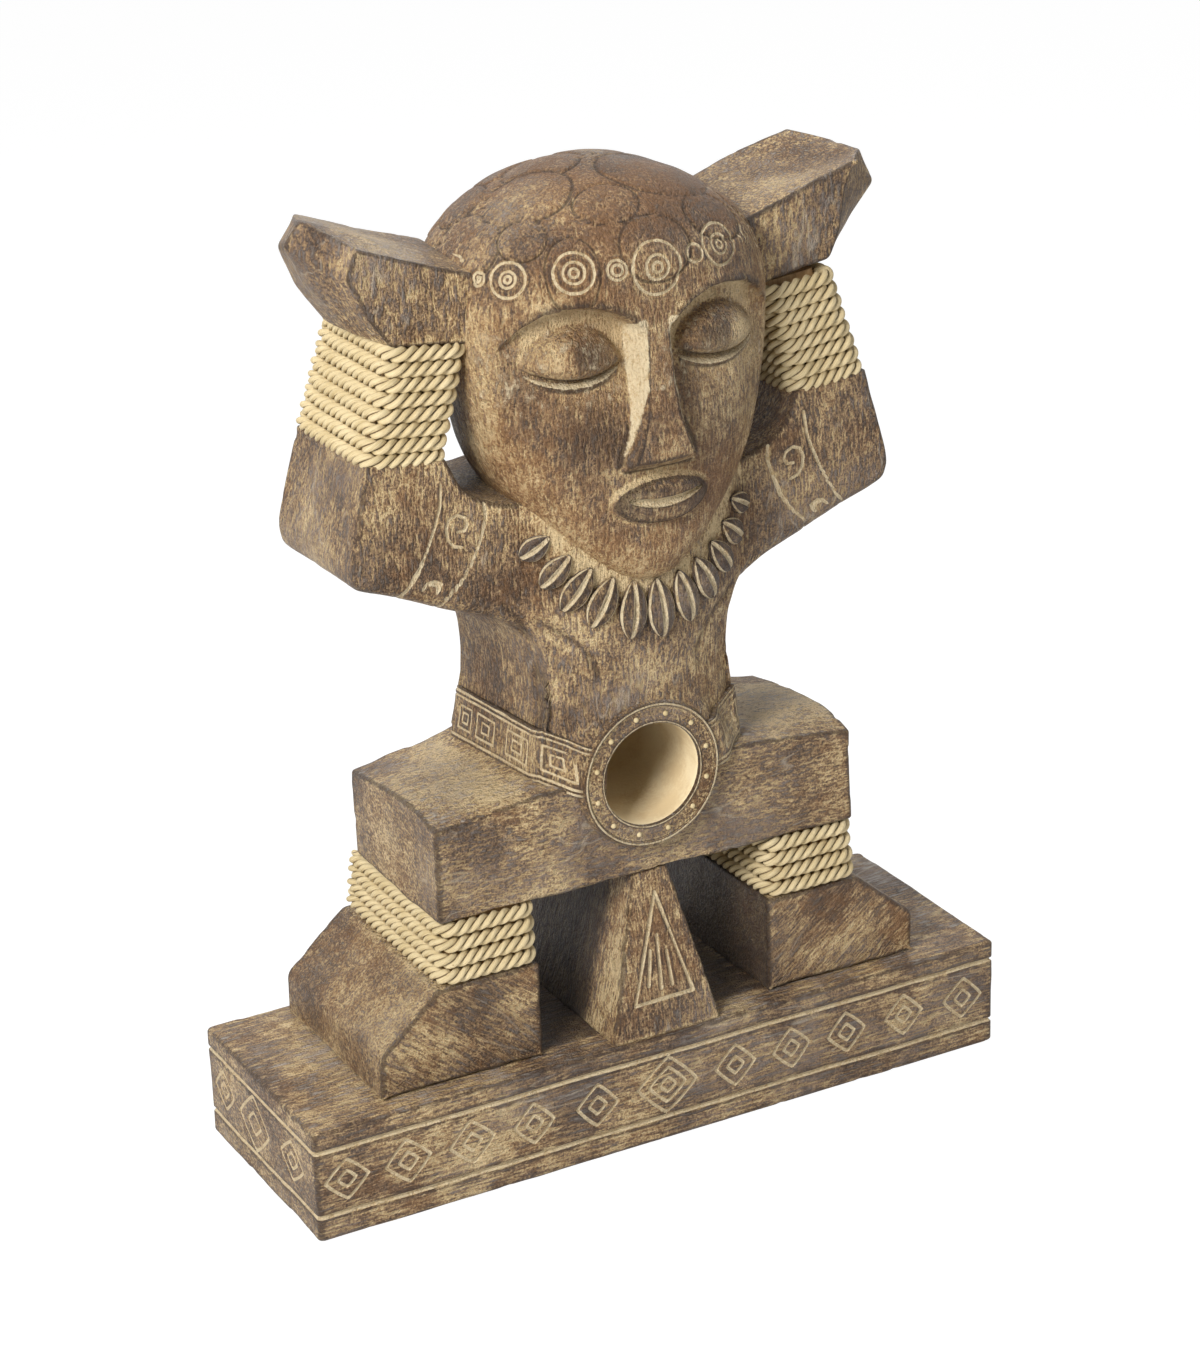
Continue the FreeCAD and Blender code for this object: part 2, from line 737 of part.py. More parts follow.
def hand_section(depth, foot, ridge, nose, top, inner_top):
    """A front outline of the hand; its foot lies on the wrist's tilted top."""
    y = hand_mid_y + hand_half_depth * depth
    points = []
    for x in (hand_inner_x, hand_mid_x + hand_reach * foot):
        points.append(Vector(x, y, hand_z + math.tan(tilt) * (x - hand_mid_x)))
    for reach, rise in (ridge, nose, top):
        points.append(Vector(hand_mid_x + hand_reach * reach, y, hand_z + hand_height * rise))
    points.append(Vector(hand_inner_x, y, hand_z + hand_height * inner_top))
    return Part.makePolygon(points + points[:1])


def hand(slices):
    """A right-side hand through its slices, drilled for the wrist's pegs."""
    block = Part.makeLoft([hand_section(*hand_slice) for hand_slice in slices], True, True)
    return drilled(block, wrist_pegs)


save("hand_right", hand(right_hand_slices).cut(head_seat))
save("hand_left", mirrored(hand(left_hand_slices)).cut(head_seat))


# ---- necklace: shells set out round the neck, their backs cut to the chest they lie on ----
arm_fronts = Part.makeBox(4 * shoulder_half_width, elbow_half_depth, torso_height)
arm_fronts.translate(Vector(-2 * shoulder_half_width, -elbow_half_depth, waist_z))
shells = []
for index in range(shell_count):
    swing = shell_step * (index - (shell_count - 1) / 2)
    x = neck_radius_x * math.sin(math.radians(swing))
    bow = (x / shoulder_half_width) ** 2
    surface_y = chest_front_y + (chest_side_y - chest_front_y) * bow
    shell = ellipsoid(Vector(0, 0, 0), (shell_width / 2, shell_thickness / 2, shell_length / 2), 0.0)
    shell.rotate(Vector(0, 0, 0), Vector(0, 1, 0), -swing)
    shell.translate(Vector(x, surface_y, shoulder_z - neck_radius_z * math.cos(math.radians(swing))))
    shell = shell.cut(torso).cut(arm_fronts).cut(head_seat)
    shells.append(max(shell.Solids, key=lambda solid: solid.Volume))
save("necklace_shells", Part.makeCompound(shells))


# ---- navel: a turned cup let into the belly, a flat ring round its mouth and a row of studs ----
cup_outside = Part.makeCylinder(cup_radius, cup_length, Vector(0, hip_front_y, navel_z), forward)
cup_inside = Part.makeCylinder(navel_radius, navel_depth, Vector(0, hip_front_y, navel_z), forward)
save("navel_cup", cup_outside.cut(cup_inside))

ring = Part.makeCylinder(ring_radius, ring_proud, Vector(0, hip_front_y, navel_z), -forward)
rim_edges = [edge for edge in ring.Edges if abs(edge.BoundBox.YMax - hip_front_y + ring_proud) < 0.01]
ring = ring.makeChamfer(ring_chamfer, rim_edges)
ring_bore = Part.makeCylinder(navel_radius, ring_proud, Vector(0, hip_front_y, navel_z), -forward)
ring = ring.cut(ring_bore)
studs = []
stud_circle = navel_radius + ring_width / 2
stud_face_y = hip_front_y - ring_proud
shank_radius = stud_radius * stud_shank_share
shank_length = ring_proud - stud_bed
for index in range(stud_count):
    angle = 2 * math.pi * (index + 0.5) / stud_count
    seat = Vector(stud_circle * math.cos(angle), stud_face_y, navel_z + stud_circle * math.sin(angle))
    shank = Part.makeCylinder(shank_radius, shank_length, seat, forward)
    button = Part.makeCone(stud_radius, stud_radius / 2, stud_height, seat, -forward)
    studs.append(shank.fuse(button))
    ring = ring.cut(Part.makeCylinder(shank_radius + dowel_slack, shank_length + dowel_slack, seat, forward))
save("navel_ring", ring)
save("navel_studs", Part.makeCompound(studs))


# ---- the pegs themselves ----
peg_sets = {
    "leg_dowels": with_twins(leg_pegs),
    "apron_dowel": [apron_peg],
    "waist_dowels": waist_pegs,
    "shoulder_dowels": with_twins(shoulder_pegs),
    "wrist_dowels": with_twins(wrist_pegs),
    "neck_dowels": neck_pegs,
}
for name, pegs in peg_sets.items():
    save(name, Part.makeCompound([dowel(*peg) for peg in pegs]))
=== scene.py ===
import itertools
import math

import bpy
import numpy as np
from mathutils import Matrix, Vector


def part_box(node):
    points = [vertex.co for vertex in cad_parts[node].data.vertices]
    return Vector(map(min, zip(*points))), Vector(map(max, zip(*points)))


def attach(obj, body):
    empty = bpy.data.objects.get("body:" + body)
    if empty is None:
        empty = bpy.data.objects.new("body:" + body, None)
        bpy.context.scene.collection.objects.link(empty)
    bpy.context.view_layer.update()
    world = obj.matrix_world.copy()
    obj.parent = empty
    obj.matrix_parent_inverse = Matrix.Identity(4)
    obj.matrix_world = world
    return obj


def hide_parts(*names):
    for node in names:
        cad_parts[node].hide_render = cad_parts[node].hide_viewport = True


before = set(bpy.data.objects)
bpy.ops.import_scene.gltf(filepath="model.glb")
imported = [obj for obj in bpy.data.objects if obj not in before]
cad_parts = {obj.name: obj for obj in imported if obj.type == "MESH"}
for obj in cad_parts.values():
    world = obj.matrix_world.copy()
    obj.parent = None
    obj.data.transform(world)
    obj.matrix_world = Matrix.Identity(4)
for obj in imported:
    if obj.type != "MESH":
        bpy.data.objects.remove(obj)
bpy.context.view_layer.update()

# ---------------------------------------------------------------------------------------------------
# PLINTH. One long block of light wood with a border line cut above and below a frieze of nested
# diamonds. All the wood is painted cream and then dry-brushed with brown, so the cuts stay cream.
# ---------------------------------------------------------------------------------------------------
MM = 0.001


def node_box(name):
    """A CAD node's lowest and highest corners in millimetres."""
    low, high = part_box(name)
    return np.array(low) / MM, np.array(high) / MM


def clamp(value):
    """The value, held between 0 and 1."""
    return np.clip(value, 0, 1)


def ease(value):
    """0 up to 0, 1 from 1 on and 3t² - 2t³ between."""
    t = clamp(value)
    return t * t * (3 - 2 * t)


def bell(distance, width):
    """1 at no distance, falling off to both sides: e to the power -(distance / width)²."""
    return np.exp(-((distance / width) ** 2))


HASH_TURNS = np.array([127.1, 311.7, 74.7])  # uneven numbers, so that no two lattice points agree
HASH_SCALE = 43758.5453


def waver(points, cell, seed):
    """Smooth unevenness from -1 to 1: random values on a lattice, blended by 3t² - 2t³ on each axis.

    A lattice point's value is what is left after the point of sin(its turns + seed) * HASH_SCALE.
    """
    place = np.asarray(points, float) / cell + 17.31 * seed
    corner = np.floor(place)
    t = ease(place - corner)
    total = 0.0
    for step in itertools.product((0, 1), repeat=place.shape[-1]):
        turns = (corner + step) @ HASH_TURNS[: place.shape[-1]]
        value = np.modf(np.abs(np.sin(turns + seed) * HASH_SCALE))[0] * 2 - 1
        total = total + value * np.prod(np.where(step, t, 1 - t), axis=-1)
    return total


def spread(low, high, count, hot=(), heat=3.0):
    """Places from low to high, closer together by the heat inside the (centre, half width) hot spots."""
    fine = np.linspace(low, high, 4000)
    density = np.ones_like(fine)
    for centre, half in hot:
        density += (heat - 1) * (np.abs(fine - centre) < half)
    density = np.minimum(density, heat)
    share = np.concatenate([[0], np.cumsum((density[1:] + density[:-1]) / 2)])
    return np.interp(np.linspace(0, share[-1], count), share, fine)


def facing(rings, caps=0):
    """Unit normals of a (stations, points, 3) grid: its two tangents' cross product, outwards.

    Caps is how many rings at each end are a flat end's filling, which has one normal.
    """
    across = np.roll(rings, -1, 1) - np.roll(rings, 1, 1)
    along = np.gradient(rings, axis=0)
    normal = np.cross(across, along)
    normal = normal * np.sign((normal * (rings - rings.mean((0, 1)))).sum())
    normal /= np.maximum(np.linalg.norm(normal, axis=-1, keepdims=True), 1e-9)
    for cap in (normal[:caps], normal[len(normal) - caps:]):
        if caps:
            cap[:] = cap.mean((0, 1)) / np.linalg.norm(cap.mean((0, 1)))
    return normal


EDGE_GAIN = 2.2  # turns the bend per millimetre into an edge's share


def sharpness(rings, normal):
    """How far the surface bends away from its tangent plane, convex above zero, per millimetre.

    For each neighbour it is the drop below the plane over the distance squared; the stronger of the
    two directions counts, smoothed twice over its neighbours.
    """
    bend = []
    for axis in (0, 1):
        total = 0.0
        for step in (-1, 1):
            reach = np.roll(rings, step, axis) - rings
            total = total - (reach * normal).sum(-1) / np.maximum((reach**2).sum(-1), 0.3)
        bend.append(total)
    bend = np.stack(bend)
    bend[0][[0, -1]] = 0
    strongest = np.where(np.abs(bend[0]) > np.abs(bend[1]), bend[0], bend[1])
    for _ in range(2):
        strongest = (strongest + np.roll(strongest, 1, 1) + np.roll(strongest, -1, 1)) / 3
        inner = (strongest[2:] + strongest[1:-1] + strongest[:-2]) / 3
        strongest = np.concatenate([strongest[:1], inner, strongest[-1:]])
    return strongest


def skin(name, grids, ends="poles", caps=0):
    """A mesh from (rings, marks) grids in millimetres; rings are (stations, points, 3) arrays.

    Each ring closes on itself. The two end rings are closed by their middle points, or by each other
    where ends is "loop". Marks are named values per grid point that the finishes read; edge and
    hollow are worked out from how the surface bends. Inside-out grids are turned round. Caps is how
    many rings fill each flat end.
    """
    points, loops, sizes, first = [], [], [], 0
    layers = {mark: [] for mark in ("edge", "hollow", *grids[0][1])}
    for rings, marks in grids:
        stations, count, _ = rings.shape
        normal = facing(rings, caps)
        bend = sharpness(rings, normal) * EDGE_GAIN
        if caps:
            bend[:caps] = bend[-caps:] = 0
        step = np.arange(count)
        ahead = (step + 1) % count
        row = np.arange(stations if ends == "loop" else stations - 1)[:, None]
        low, high = first + row * count, first + (row + 1) % stations * count
        quads = np.stack([low + step, low + ahead, high + ahead, high + step], -1).reshape(-1, 4)
        grid_points = rings.reshape(-1, 3)
        faces = [quads]
        if ends == "poles":
            grid_points = np.concatenate([grid_points, rings[:1].mean(1), rings[-1:].mean(1)])
            pole = first + stations * count
            faces.append(np.stack([first + ahead, first + step, np.full(count, pole)], -1))
            last = first + (stations - 1) * count
            faces.append(np.stack([last + step, last + ahead, np.full(count, pole + 1)], -1))
        across = np.roll(rings, -1, 1) - rings
        along = np.gradient(rings, axis=0)
        if (np.cross(across, along) * normal).sum() < 0:
            faces = [face[:, ::-1] for face in faces]
        for face in faces:
            loops.append(face.ravel())
            sizes.append(np.full(len(face), face.shape[1]))
        values = dict(marks, edge=clamp(bend), hollow=clamp(-bend))
        for mark, layer in layers.items():
            flat = np.broadcast_to(values[mark], (stations, count)).ravel()
            layer.append(np.concatenate([flat, np.zeros(len(grid_points) - len(flat))]))
        points.append(grid_points)
        first += len(grid_points)
    points, loops, sizes = np.concatenate(points), np.concatenate(loops), np.concatenate(sizes)
    mesh = bpy.data.meshes.new(name)
    mesh.vertices.add(len(points))
    mesh.vertices.foreach_set("co", (points * MM).ravel())
    mesh.loops.add(len(loops))
    mesh.loops.foreach_set("vertex_index", loops.astype(np.int32))
    mesh.polygons.add(len(sizes))
    mesh.polygons.foreach_set("loop_start", np.concatenate([[0], np.cumsum(sizes)[:-1]]).astype(np.int32))
    mesh.polygons.foreach_set("use_smooth", np.ones(len(sizes), bool))
    mesh.update(calc_edges=True)
    for mark, layer in layers.items():
        values = np.concatenate(layer).astype(np.float32)
        mesh.attributes.new(mark, "FLOAT", "POINT").data.foreach_set("value", values)
    piece = bpy.data.objects.new(name, mesh)
    bpy.context.scene.collection.objects.link(piece)
    return piece


def groove(distance, half_width, depth):
    """A cut's depth at a distance from its middle line: depth times (1 - (d / w)²)² inside the cut."""
    inside = clamp(1 - (distance / half_width) ** 2)
    return depth * inside**2


class Paint:
    """A socket in a finish's node tree; arithmetic on it adds the Math node that works it out."""

    def __init__(self, tree, socket=None):
        self.tree = tree
        self.socket = socket

    def node(self, kind, settings=None, sockets=None, output=0):
        """One node: its settings first, a ramp's stops among them, then its sockets' values or links."""
        made = self.tree.nodes.new(kind)
        for name, value in (settings or {}).items():
            if name == "stops":
                while len(made.color_ramp.elements) < len(value):
                    made.color_ramp.elements.new(1.0)
                for stop, (position, colour) in zip(made.color_ramp.elements, value):
                    stop.position, stop.color = position, colour
            else:
                setattr(made, name, value)
        for key, value in (sockets or {}).items():
            if isinstance(value, Paint):
                self.tree.links.new(value.socket, made.inputs[key])
            else:
                made.inputs[key].default_value = value
        return Paint(self.tree, made.outputs[output]) if len(made.outputs) else None

    def apply(self, operation, *values):
        """A Math node on numbers or sockets."""
        return self.node("ShaderNodeMath", {"operation": operation}, dict(enumerate(values)))

    def __add__(self, other):
        return self.apply("ADD", self, other)

    def __sub__(self, other):
        return self.apply("SUBTRACT", self, other)

    def __rsub__(self, other):
        return self.apply("SUBTRACT", other, self)

    def __mul__(self, other):
        return self.apply("MULTIPLY", self, other)

    __radd__ = __add__
    __rmul__ = __mul__

    def rise(self, low, high):
        """0 below low, 1 above high and a smooth step between."""
        settings = {"interpolation_type": "SMOOTHSTEP"}
        return self.node("ShaderNodeMapRange", settings, {"Value": self, "From Min": low, "From Max": high})

    def mark(self, name):
        """A named value of the mesh."""
        return self.node("ShaderNodeAttribute", {"attribute_name": name}, output="Fac")

    def speckle(self, where, scale, detail=3.0, roughness=0.5):
        """Cloudy noise around 0.5."""
        sockets = {"Vector": where, "Scale": scale, "Detail": detail, "Roughness": roughness}
        return self.node("ShaderNodeTexNoise", {}, sockets)

    def over(self, under, colour, share):
        """A colour laid over another by a share."""
        return self.node("ShaderNodeMix", {"data_type": "RGBA"}, {0: share, 6: under, 7: colour}, 2)


def tone(red, green, blue):
    """A colour given from 0 to 255 as it is seen, turned into light: c/12.92 or ((c + 0.055)/1.055)^2.4."""
    seen = np.array([red, green, blue]) / 255
    light = np.where(seen <= 0.04045, seen / 12.92, ((seen + 0.055) / 1.055) ** 2.4)
    return (*light, 1.0)


def surface_out(recipe, colour, roughness, height, distance, specular=0.4):
    """Finishes a recipe: the shader, its bump and the material's output."""
    normal = recipe.node("ShaderNodeBump", {}, {"Height": height, "Distance": distance, "Strength": 1.0})
    shader = recipe.node(
        "ShaderNodeBsdfPrincipled",
        {},
        {"Base Color": colour, "Roughness": roughness, "Normal": normal, "Specular IOR Level": specular},
    )
    recipe.node("ShaderNodeOutputMaterial", {}, {"Surface": shader})


def new_recipe(name):
    """An empty material and the start of its recipe."""
    material = bpy.data.materials.new(name)
    material.use_nodes = True
    material.node_tree.nodes.clear()
    return material, Paint(material.node_tree)


PAINT_STOPS = (  # from where the brush missed the base coat to where brown lies thickest
    (0.0, tone(222, 198, 154)), (0.16, tone(199, 171, 125)), (0.34, tone(168, 140, 103)),
    (0.52, tone(138, 112, 84)), (0.70, tone(110, 87, 66)), (0.86, tone(84, 65, 49)), (1.0, tone(58, 44, 34)),
)


def dry_brushed(name, stretch, cover=0.0, warmth=0.0, seed=0.0, lean=0.0):
    """Cream paint under brown that was dragged over it with a dry brush along the least stretched axis.

    Stretch scales the bristle noise on each axis; cover adds or takes away brown, warmth leans it to
    red-brown rather than grey-brown, and lean turns the strokes down and outwards on both sides.
    """
    material, recipe = new_recipe(name)
    place = recipe.node("ShaderNodeTexCoord", output="Object")
    elsewhere = (seed, seed * 0.7, seed * 0.3)
    shifted = recipe.node("ShaderNodeMapping", {}, {"Vector": place, "Location": elsewhere})
    x, y, z = (recipe.node("ShaderNodeSeparateXYZ", {}, {0: place}, axis) for axis in range(3))
    folded = recipe.node("ShaderNodeCombineXYZ", {}, {0: recipe.apply("ABSOLUTE", x) + seed, 1: y, 2: z})
    turned_over = recipe.node("ShaderNodeMapping", {}, {"Vector": folded, "Rotation": (0.0, lean, 0.0)})
    brushed = recipe.node("ShaderNodeMapping", {}, {"Vector": turned_over, "Scale": stretch})
    bristle = recipe.speckle(brushed, 760.0, 3.0, 0.6)
    stroke = recipe.speckle(brushed, 260.0, 3.0, 0.6)
    patch = recipe.speckle(shifted, 26.0, 2.0, 0.5)
    mottle = recipe.speckle(shifted, 170.0, 6.0, 0.75)
    grit = recipe.speckle(shifted, 850.0, 2.0, 0.6)
    wash = recipe.speckle(shifted, 17.0, 4.0, 0.6)
    scored = recipe.speckle(brushed, 60.0, 2.0, 0.4)
    cut, edge, hollow = recipe.mark("cut"), recipe.mark("edge"), recipe.mark("hollow")
    seam, shade, rim = recipe.mark("seam"), recipe.mark("shade"), recipe.mark("rim")
    normal = recipe.node("ShaderNodeNewGeometry", output="Normal")
    top = recipe.node("ShaderNodeSeparateXYZ", {}, {0: normal}, 2).rise(0.55, 0.95)

    laid = (bristle - 0.5) * 2.5 + (stroke - 0.5) * 0.8 + (mottle - 0.5) * 0.9 + (patch - 0.5) * 1.5
    laid = laid + (grit - 0.5) * 1.6 + 0.50 + cover - hollow * 0.35 - seam * 0.7 + shade * 0.35
    colour = recipe.node("ShaderNodeValToRGB", {"stops": PAINT_STOPS}, {0: laid})
    # upward faces get more grey wash and pale dust: real dust, and also a painted sheen of the light from
    # above
    grey_share = (wash + (bristle - 0.5) * 0.7 - warmth).rise(0.46, 0.74) * (top * 0.15 + 0.33)
    colour = recipe.over(colour, tone(148, 134, 128), grey_share)
    rust_share = (1 - wash + (mottle - 0.5) * 0.8 + warmth).rise(0.5, 0.8) * 0.5
    colour = recipe.over(colour, tone(140, 98, 56), rust_share)
    scratch = 1 - recipe.apply("ABSOLUTE", scored - 0.5).rise(0.002, 0.012)
    scratch = scratch * (mottle + wash - 1).rise(-0.02, 0.1)
    colour = recipe.over(colour, tone(205, 190, 166), scratch * (0.42 - warmth * 2.0))
    pits = (0.5 - grit + (0.5 - bristle) * 0.9 + (wash - 0.5) * 0.5).rise(0.13, 0.2)
    colour = recipe.over(colour, tone(64, 48, 36), pits * 0.4)
    rubbed = (edge * 1.2 + (mottle - 0.5) * 1.6 + (bristle - 0.5) * 1.2 - 0.1).rise(0.1, 0.8)
    colour = recipe.over(colour, tone(62, 47, 37), rubbed * 0.72 * edge.rise(0.08, 0.35))
    dust_and_sheen = (bristle * 0.9 + stroke * 0.4 + wash * 0.4).rise(0.86, 1.12)
    colour = recipe.over(colour, tone(212, 203, 190), dust_and_sheen * (top * 0.4 + 0.2) * (1 - 3 * warmth))
    # near-black over dark rims, and over painted shade between the legs and under the beam
    colour = recipe.over(colour, tone(50, 37, 28), (rim + (mottle - 0.5) * 0.5).rise(0.3, 0.8) * 0.75)
    line = (cut * 1.3 + (mottle - 0.5) * 0.9 + (bristle - 0.5) * 0.4).rise(0.32, 0.62) * cut.rise(0.04, 0.16)
    clean = (mottle * 0.7 + grit * 0.5).rise(0.42, 0.66)
    filled = recipe.over(tone(198, 171, 128), tone(232, 214, 178), clean)
    colour = recipe.over(colour, filled, line * 0.92)
    roughness = 0.40 + (mottle - 0.5) * 0.4 + (stroke - 0.5) * 0.2
    height = bristle * 0.9 + stroke * 0.4 + mottle * 0.6 + grit * 0.5
    surface_out(recipe, colour, roughness, height, 0.0032, 0.36)
    return material


def carving(cut=0.0, rim=0.0, seam=0.0, shade=0.0):
    """The marks that dry-brushed paint reads: cream cuts, dark rims and painted shade, cream seams and
    painted highlights, and browner patches.
    """
    return {"cut": cut, "rim": rim, "seam": seam, "shade": shade}


def made_of(piece, material, *nodes, slot="carved_wood"):
    """Gives a piece its finish and its body and hides the CAD nodes it stands for; the slot is not used."""
    piece.data.materials.append(material)
    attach(piece, "root")
    if nodes:
        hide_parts(*nodes)
    return piece


half_long, half_deep, plinth_top = node_box("plinth")[1]
plinth_arris = 2.4  # rounding of the level edges
plinth_corner = 3.0  # rounding of the upright edges
border_lines = (13.5, 49.5)
frieze_z = 31.8
front_diamonds = [  # x of the middle, half width, half height, how many are nested
    (-182.7, 11.5, 11.0, 2), (-149.4, 12.0, 11.6, 2), (-114.1, 12.0, 11.7, 2), (-79.3, 11.0, 11.0, 2),
    (-43.1, 11.5, 11.5, 2), (-2.3, 17.0, 15.6, 3), (38.2, 11.5, 11.4, 2), (72.2, 11.0, 11.2, 2),
    (106.1, 11.0, 11.3, 2), (141.8, 11.3, 11.3, 2), (179.5, 11.8, 11.3, 2),
]
end_diamonds = [(-47.0, 12.0, 10.6, 2), (-9.0, 17.5, 15.5, 2), (37.0, 13.0, 11.0, 2)]


def diamond_cuts(across, height, diamonds, seed):
    """Depth of the nested diamonds: each line lies where (|x| / a)^1.12 + (|z| / b)^1.12 = 1.

    Every diamond leans and stands a little off the frieze's middle line.
    """
    depth = np.zeros(np.shape(across))
    for index, (middle, half_x, half_z, nested) in enumerate(diamonds):
        lean = 0.06 * math.sin(7.3 * index + seed)
        x = across - middle + lean * (height - frieze_z)
        z = height - frieze_z - 0.7 * math.sin(3.1 * index + seed) - lean * x
        shares = (1.0, 0.42) if nested == 2 else (1.0, 0.62, 0.27)
        for share in shares:
            a, b = half_x * share, half_z * share
            steep = (np.abs(x) / a) ** 1.12 + (np.abs(z) / b) ** 1.12
            away = (steep - 1) / math.hypot(1 / a, 1 / b)
            depth = np.maximum(depth, groove(away, 1.25, 1.0))
    return depth


OFF_SIDES = 999.0  # a place that no diamond reaches


def plinth_ring():
    """The plinth's outline as (x, y, place along the side, which side), anticlockwise from the front left.

    Four straight sides with quarter circles between them; a corner's points have the place OFF_SIDES.
    """
    hot_long = [(middle, half + 2.5) for middle, half, _, _ in front_diamonds]
    hot_end = [(middle, half + 2.5) for middle, half, _, _ in end_diamonds]
    corner = plinth_corner
    x_front = spread(corner - half_long, half_long - corner, 420, hot_long, 4.0)
    x_back = spread(corner - half_long, half_long - corner, 300, hot_long, 3.0)
    y_end = spread(corner - half_deep, half_deep - corner, 112, hot_end, 3.0)
    bend = np.radians(np.linspace(-90, 0, 6))[1:-1]
    sides = []
    for side, run in enumerate((x_front, y_end, x_back, y_end)):
        turn = side * math.pi / 2
        reach = (half_deep, half_long)[side % 2]
        length = (half_long, half_deep)[side % 2]
        straight = np.stack([run, np.full(len(run), -reach), run, np.full(len(run), side)], -1)
        arc = np.stack([
            length - corner + corner * np.cos(bend), -reach + corner + corner * np.sin(bend),
            np.full(len(bend), OFF_SIDES), np.full(len(bend), side),
        ], -1)
        both = np.concatenate([straight, arc])
        x = both[:, 0] * math.cos(turn) - both[:, 1] * math.sin(turn)
        y = both[:, 0] * math.sin(turn) + both[:, 1] * math.cos(turn)
        sides.append(np.stack([x, y, both[:, 2], both[:, 3]], -1))
    return np.concatenate(sides)


outline = plinth_ring()
hot_rows = [(z, 2.2) for z in border_lines] + [(frieze_z, 14.0)]
rows = spread(plinth_arris, plinth_top - plinth_arris, 76, hot_rows, 3.2)
quarter = np.radians(np.linspace(0, 90, 5))
bend_in, bend_up = plinth_arris * (1 - np.sin(quarter)), plinth_arris * (1 - np.cos(quarter))
fill = np.array([2.0, 6.0, 12.0, 20.0, 30.0, 42.0, 54.0, 62.0])  # how far in the flat faces' rings lie
wall = np.zeros(len(rows) - 2)
insets = np.concatenate([plinth_arris + fill[::-1], bend_in, wall, bend_up, plinth_arris + fill])[:, None]
levels = np.concatenate([0 * fill, bend_up, rows[1:-1], plinth_top - bend_in, plinth_top + 0 * fill])
along, side = outline[:, 2], outline[:, 3]
# the flat faces' rings draw in faster lengthways, so that they end in a short line
rings = np.stack([
    outline[:, 0] * (1 - insets / half_long * np.where(insets > plinth_arris, 2.3, 1.0)),
    outline[:, 1] * (1 - insets / half_deep),
    np.broadcast_to(levels[:, None], (len(levels), len(outline))),
], -1)
height = rings[..., 2]
on_wall = (insets < 0.2) & (along < OFF_SIDES)
front_depth = diamond_cuts(along, height, front_diamonds, 0.0)
end_depth = diamond_cuts(along, height, end_diamonds, 2.0)
cuts = np.where(side % 2 == 0, front_depth, end_depth) * on_wall
for z in border_lines:
    line_z = z + 0.5 * waver(rings[..., :2], 60.0, 3)
    cuts = np.maximum(cuts, groove(height - line_z, 1.6, 1.5) * (insets < plinth_arris))
uneven = 0.45 * waver(rings, 34.0, 1) + 0.22 * waver(rings, 9.0, 2)
near_edge = bell(np.minimum(np.abs(height - plinth_top), np.abs(height)), 3.0) * (insets < 5)
chips = 0.9 * clamp(waver(rings, 7.0, 5) - 0.25) * near_edge
on_top = height > plinth_top - 0.01
calm = np.where(on_top | (height < 0.01), 0.25, 1.0)
rings = rings + facing(rings) * (calm * (uneven - 0.5) - cuts - chips)[..., None]
rings[..., 2] = np.clip(rings[..., 2], 0, plinth_top)
# painted shade: the plinth's top between the legs is painted dark where the legs and the beam shade it
painted_shade_between_legs = ease((74.0 - np.abs(rings[..., 0])) / 8.0) * ease((rings[..., 1] + 52.0) / 8.0)
marks = carving(cuts, painted_shade_between_legs * on_top)
plinth_paint = dry_brushed("plinth paint", (0.12, 0.6, 1.0))
made_of(skin("plinth_carved", [(rings, marks)]), plinth_paint, "plinth")


# ---------------------------------------------------------------------------------------------------
# FEET. Two blocks glued and pegged to the plinth, each level under its binding and then planed down
# to a low outer edge.
# ---------------------------------------------------------------------------------------------------
def corner_rings(corners, trims, counts, bend=5):
    """Closed rings through corner points (stations, corners, 3), with every corner rounded.

    Each side is straight; each corner is cut back by its trim and rounded by (1-t)²A + 2t(1-t)C + t²B.
    """
    ahead = np.roll(corners, -1, 1)
    run = ahead - corners
    unit = run / np.linalg.norm(run, axis=-1, keepdims=True)
    trims = np.broadcast_to(np.asarray(trims, float), corners.shape[:2])[..., None]
    start = corners + unit * trims
    end = ahead - unit * np.roll(trims, -1, 1)
    follow = np.roll(start, -1, 1)
    parts = []
    for side, count in enumerate(counts):
        t = np.linspace(0, 1, count)[None, :, None]
        parts.append(start[:, side, None] * (1 - t) + end[:, side, None] * t)
        t = np.linspace(0, 1, bend + 2)[None, 1:-1, None]
        turn = end[:, side, None] * (1 - t) ** 2 + 2 * t * (1 - t) * ahead[:, side, None]
        parts.append(turn + follow[:, side, None] * t**2)
    return np.concatenate(parts, 1)


FILLS = (0.06, 0.13, 0.21, 0.3, 0.4, 0.5, 0.6, 0.7, 0.8, 0.9)


def closed_ends(rings, radius):
    """Rounds both ends of a stack of rings by a quarter circle and fills them in towards the middle."""
    stacks = []
    for end, neighbour in ((rings[0], rings[1]), (rings[-1], rings[-2])):
        middle = end.mean(0)
        out = np.cross(end - middle, np.roll(end, -1, 0) - middle).sum(0)
        out = out / np.linalg.norm(out) * np.sign(out @ (middle - neighbour.mean(0)))
        inward = np.cross(np.roll(end, -1, 0) - np.roll(end, 1, 0), out)
        inward /= np.maximum(np.linalg.norm(inward, axis=-1, keepdims=True), 1e-9)
        inward *= np.sign((inward * (middle - end)).sum())
        angles = np.radians([22.0, 45.0, 68.0, 90.0])
        bends = [end + inward * radius * (1 - math.cos(a)) + out * radius * math.sin(a) for a in angles]
        fills = [bends[-1] + (bends[-1].mean(0) - bends[-1]) * share for share in FILLS]
        stacks.append(np.stack(bends + fills))
    return np.concatenate([stacks[0][::-1], rings, stacks[1]])


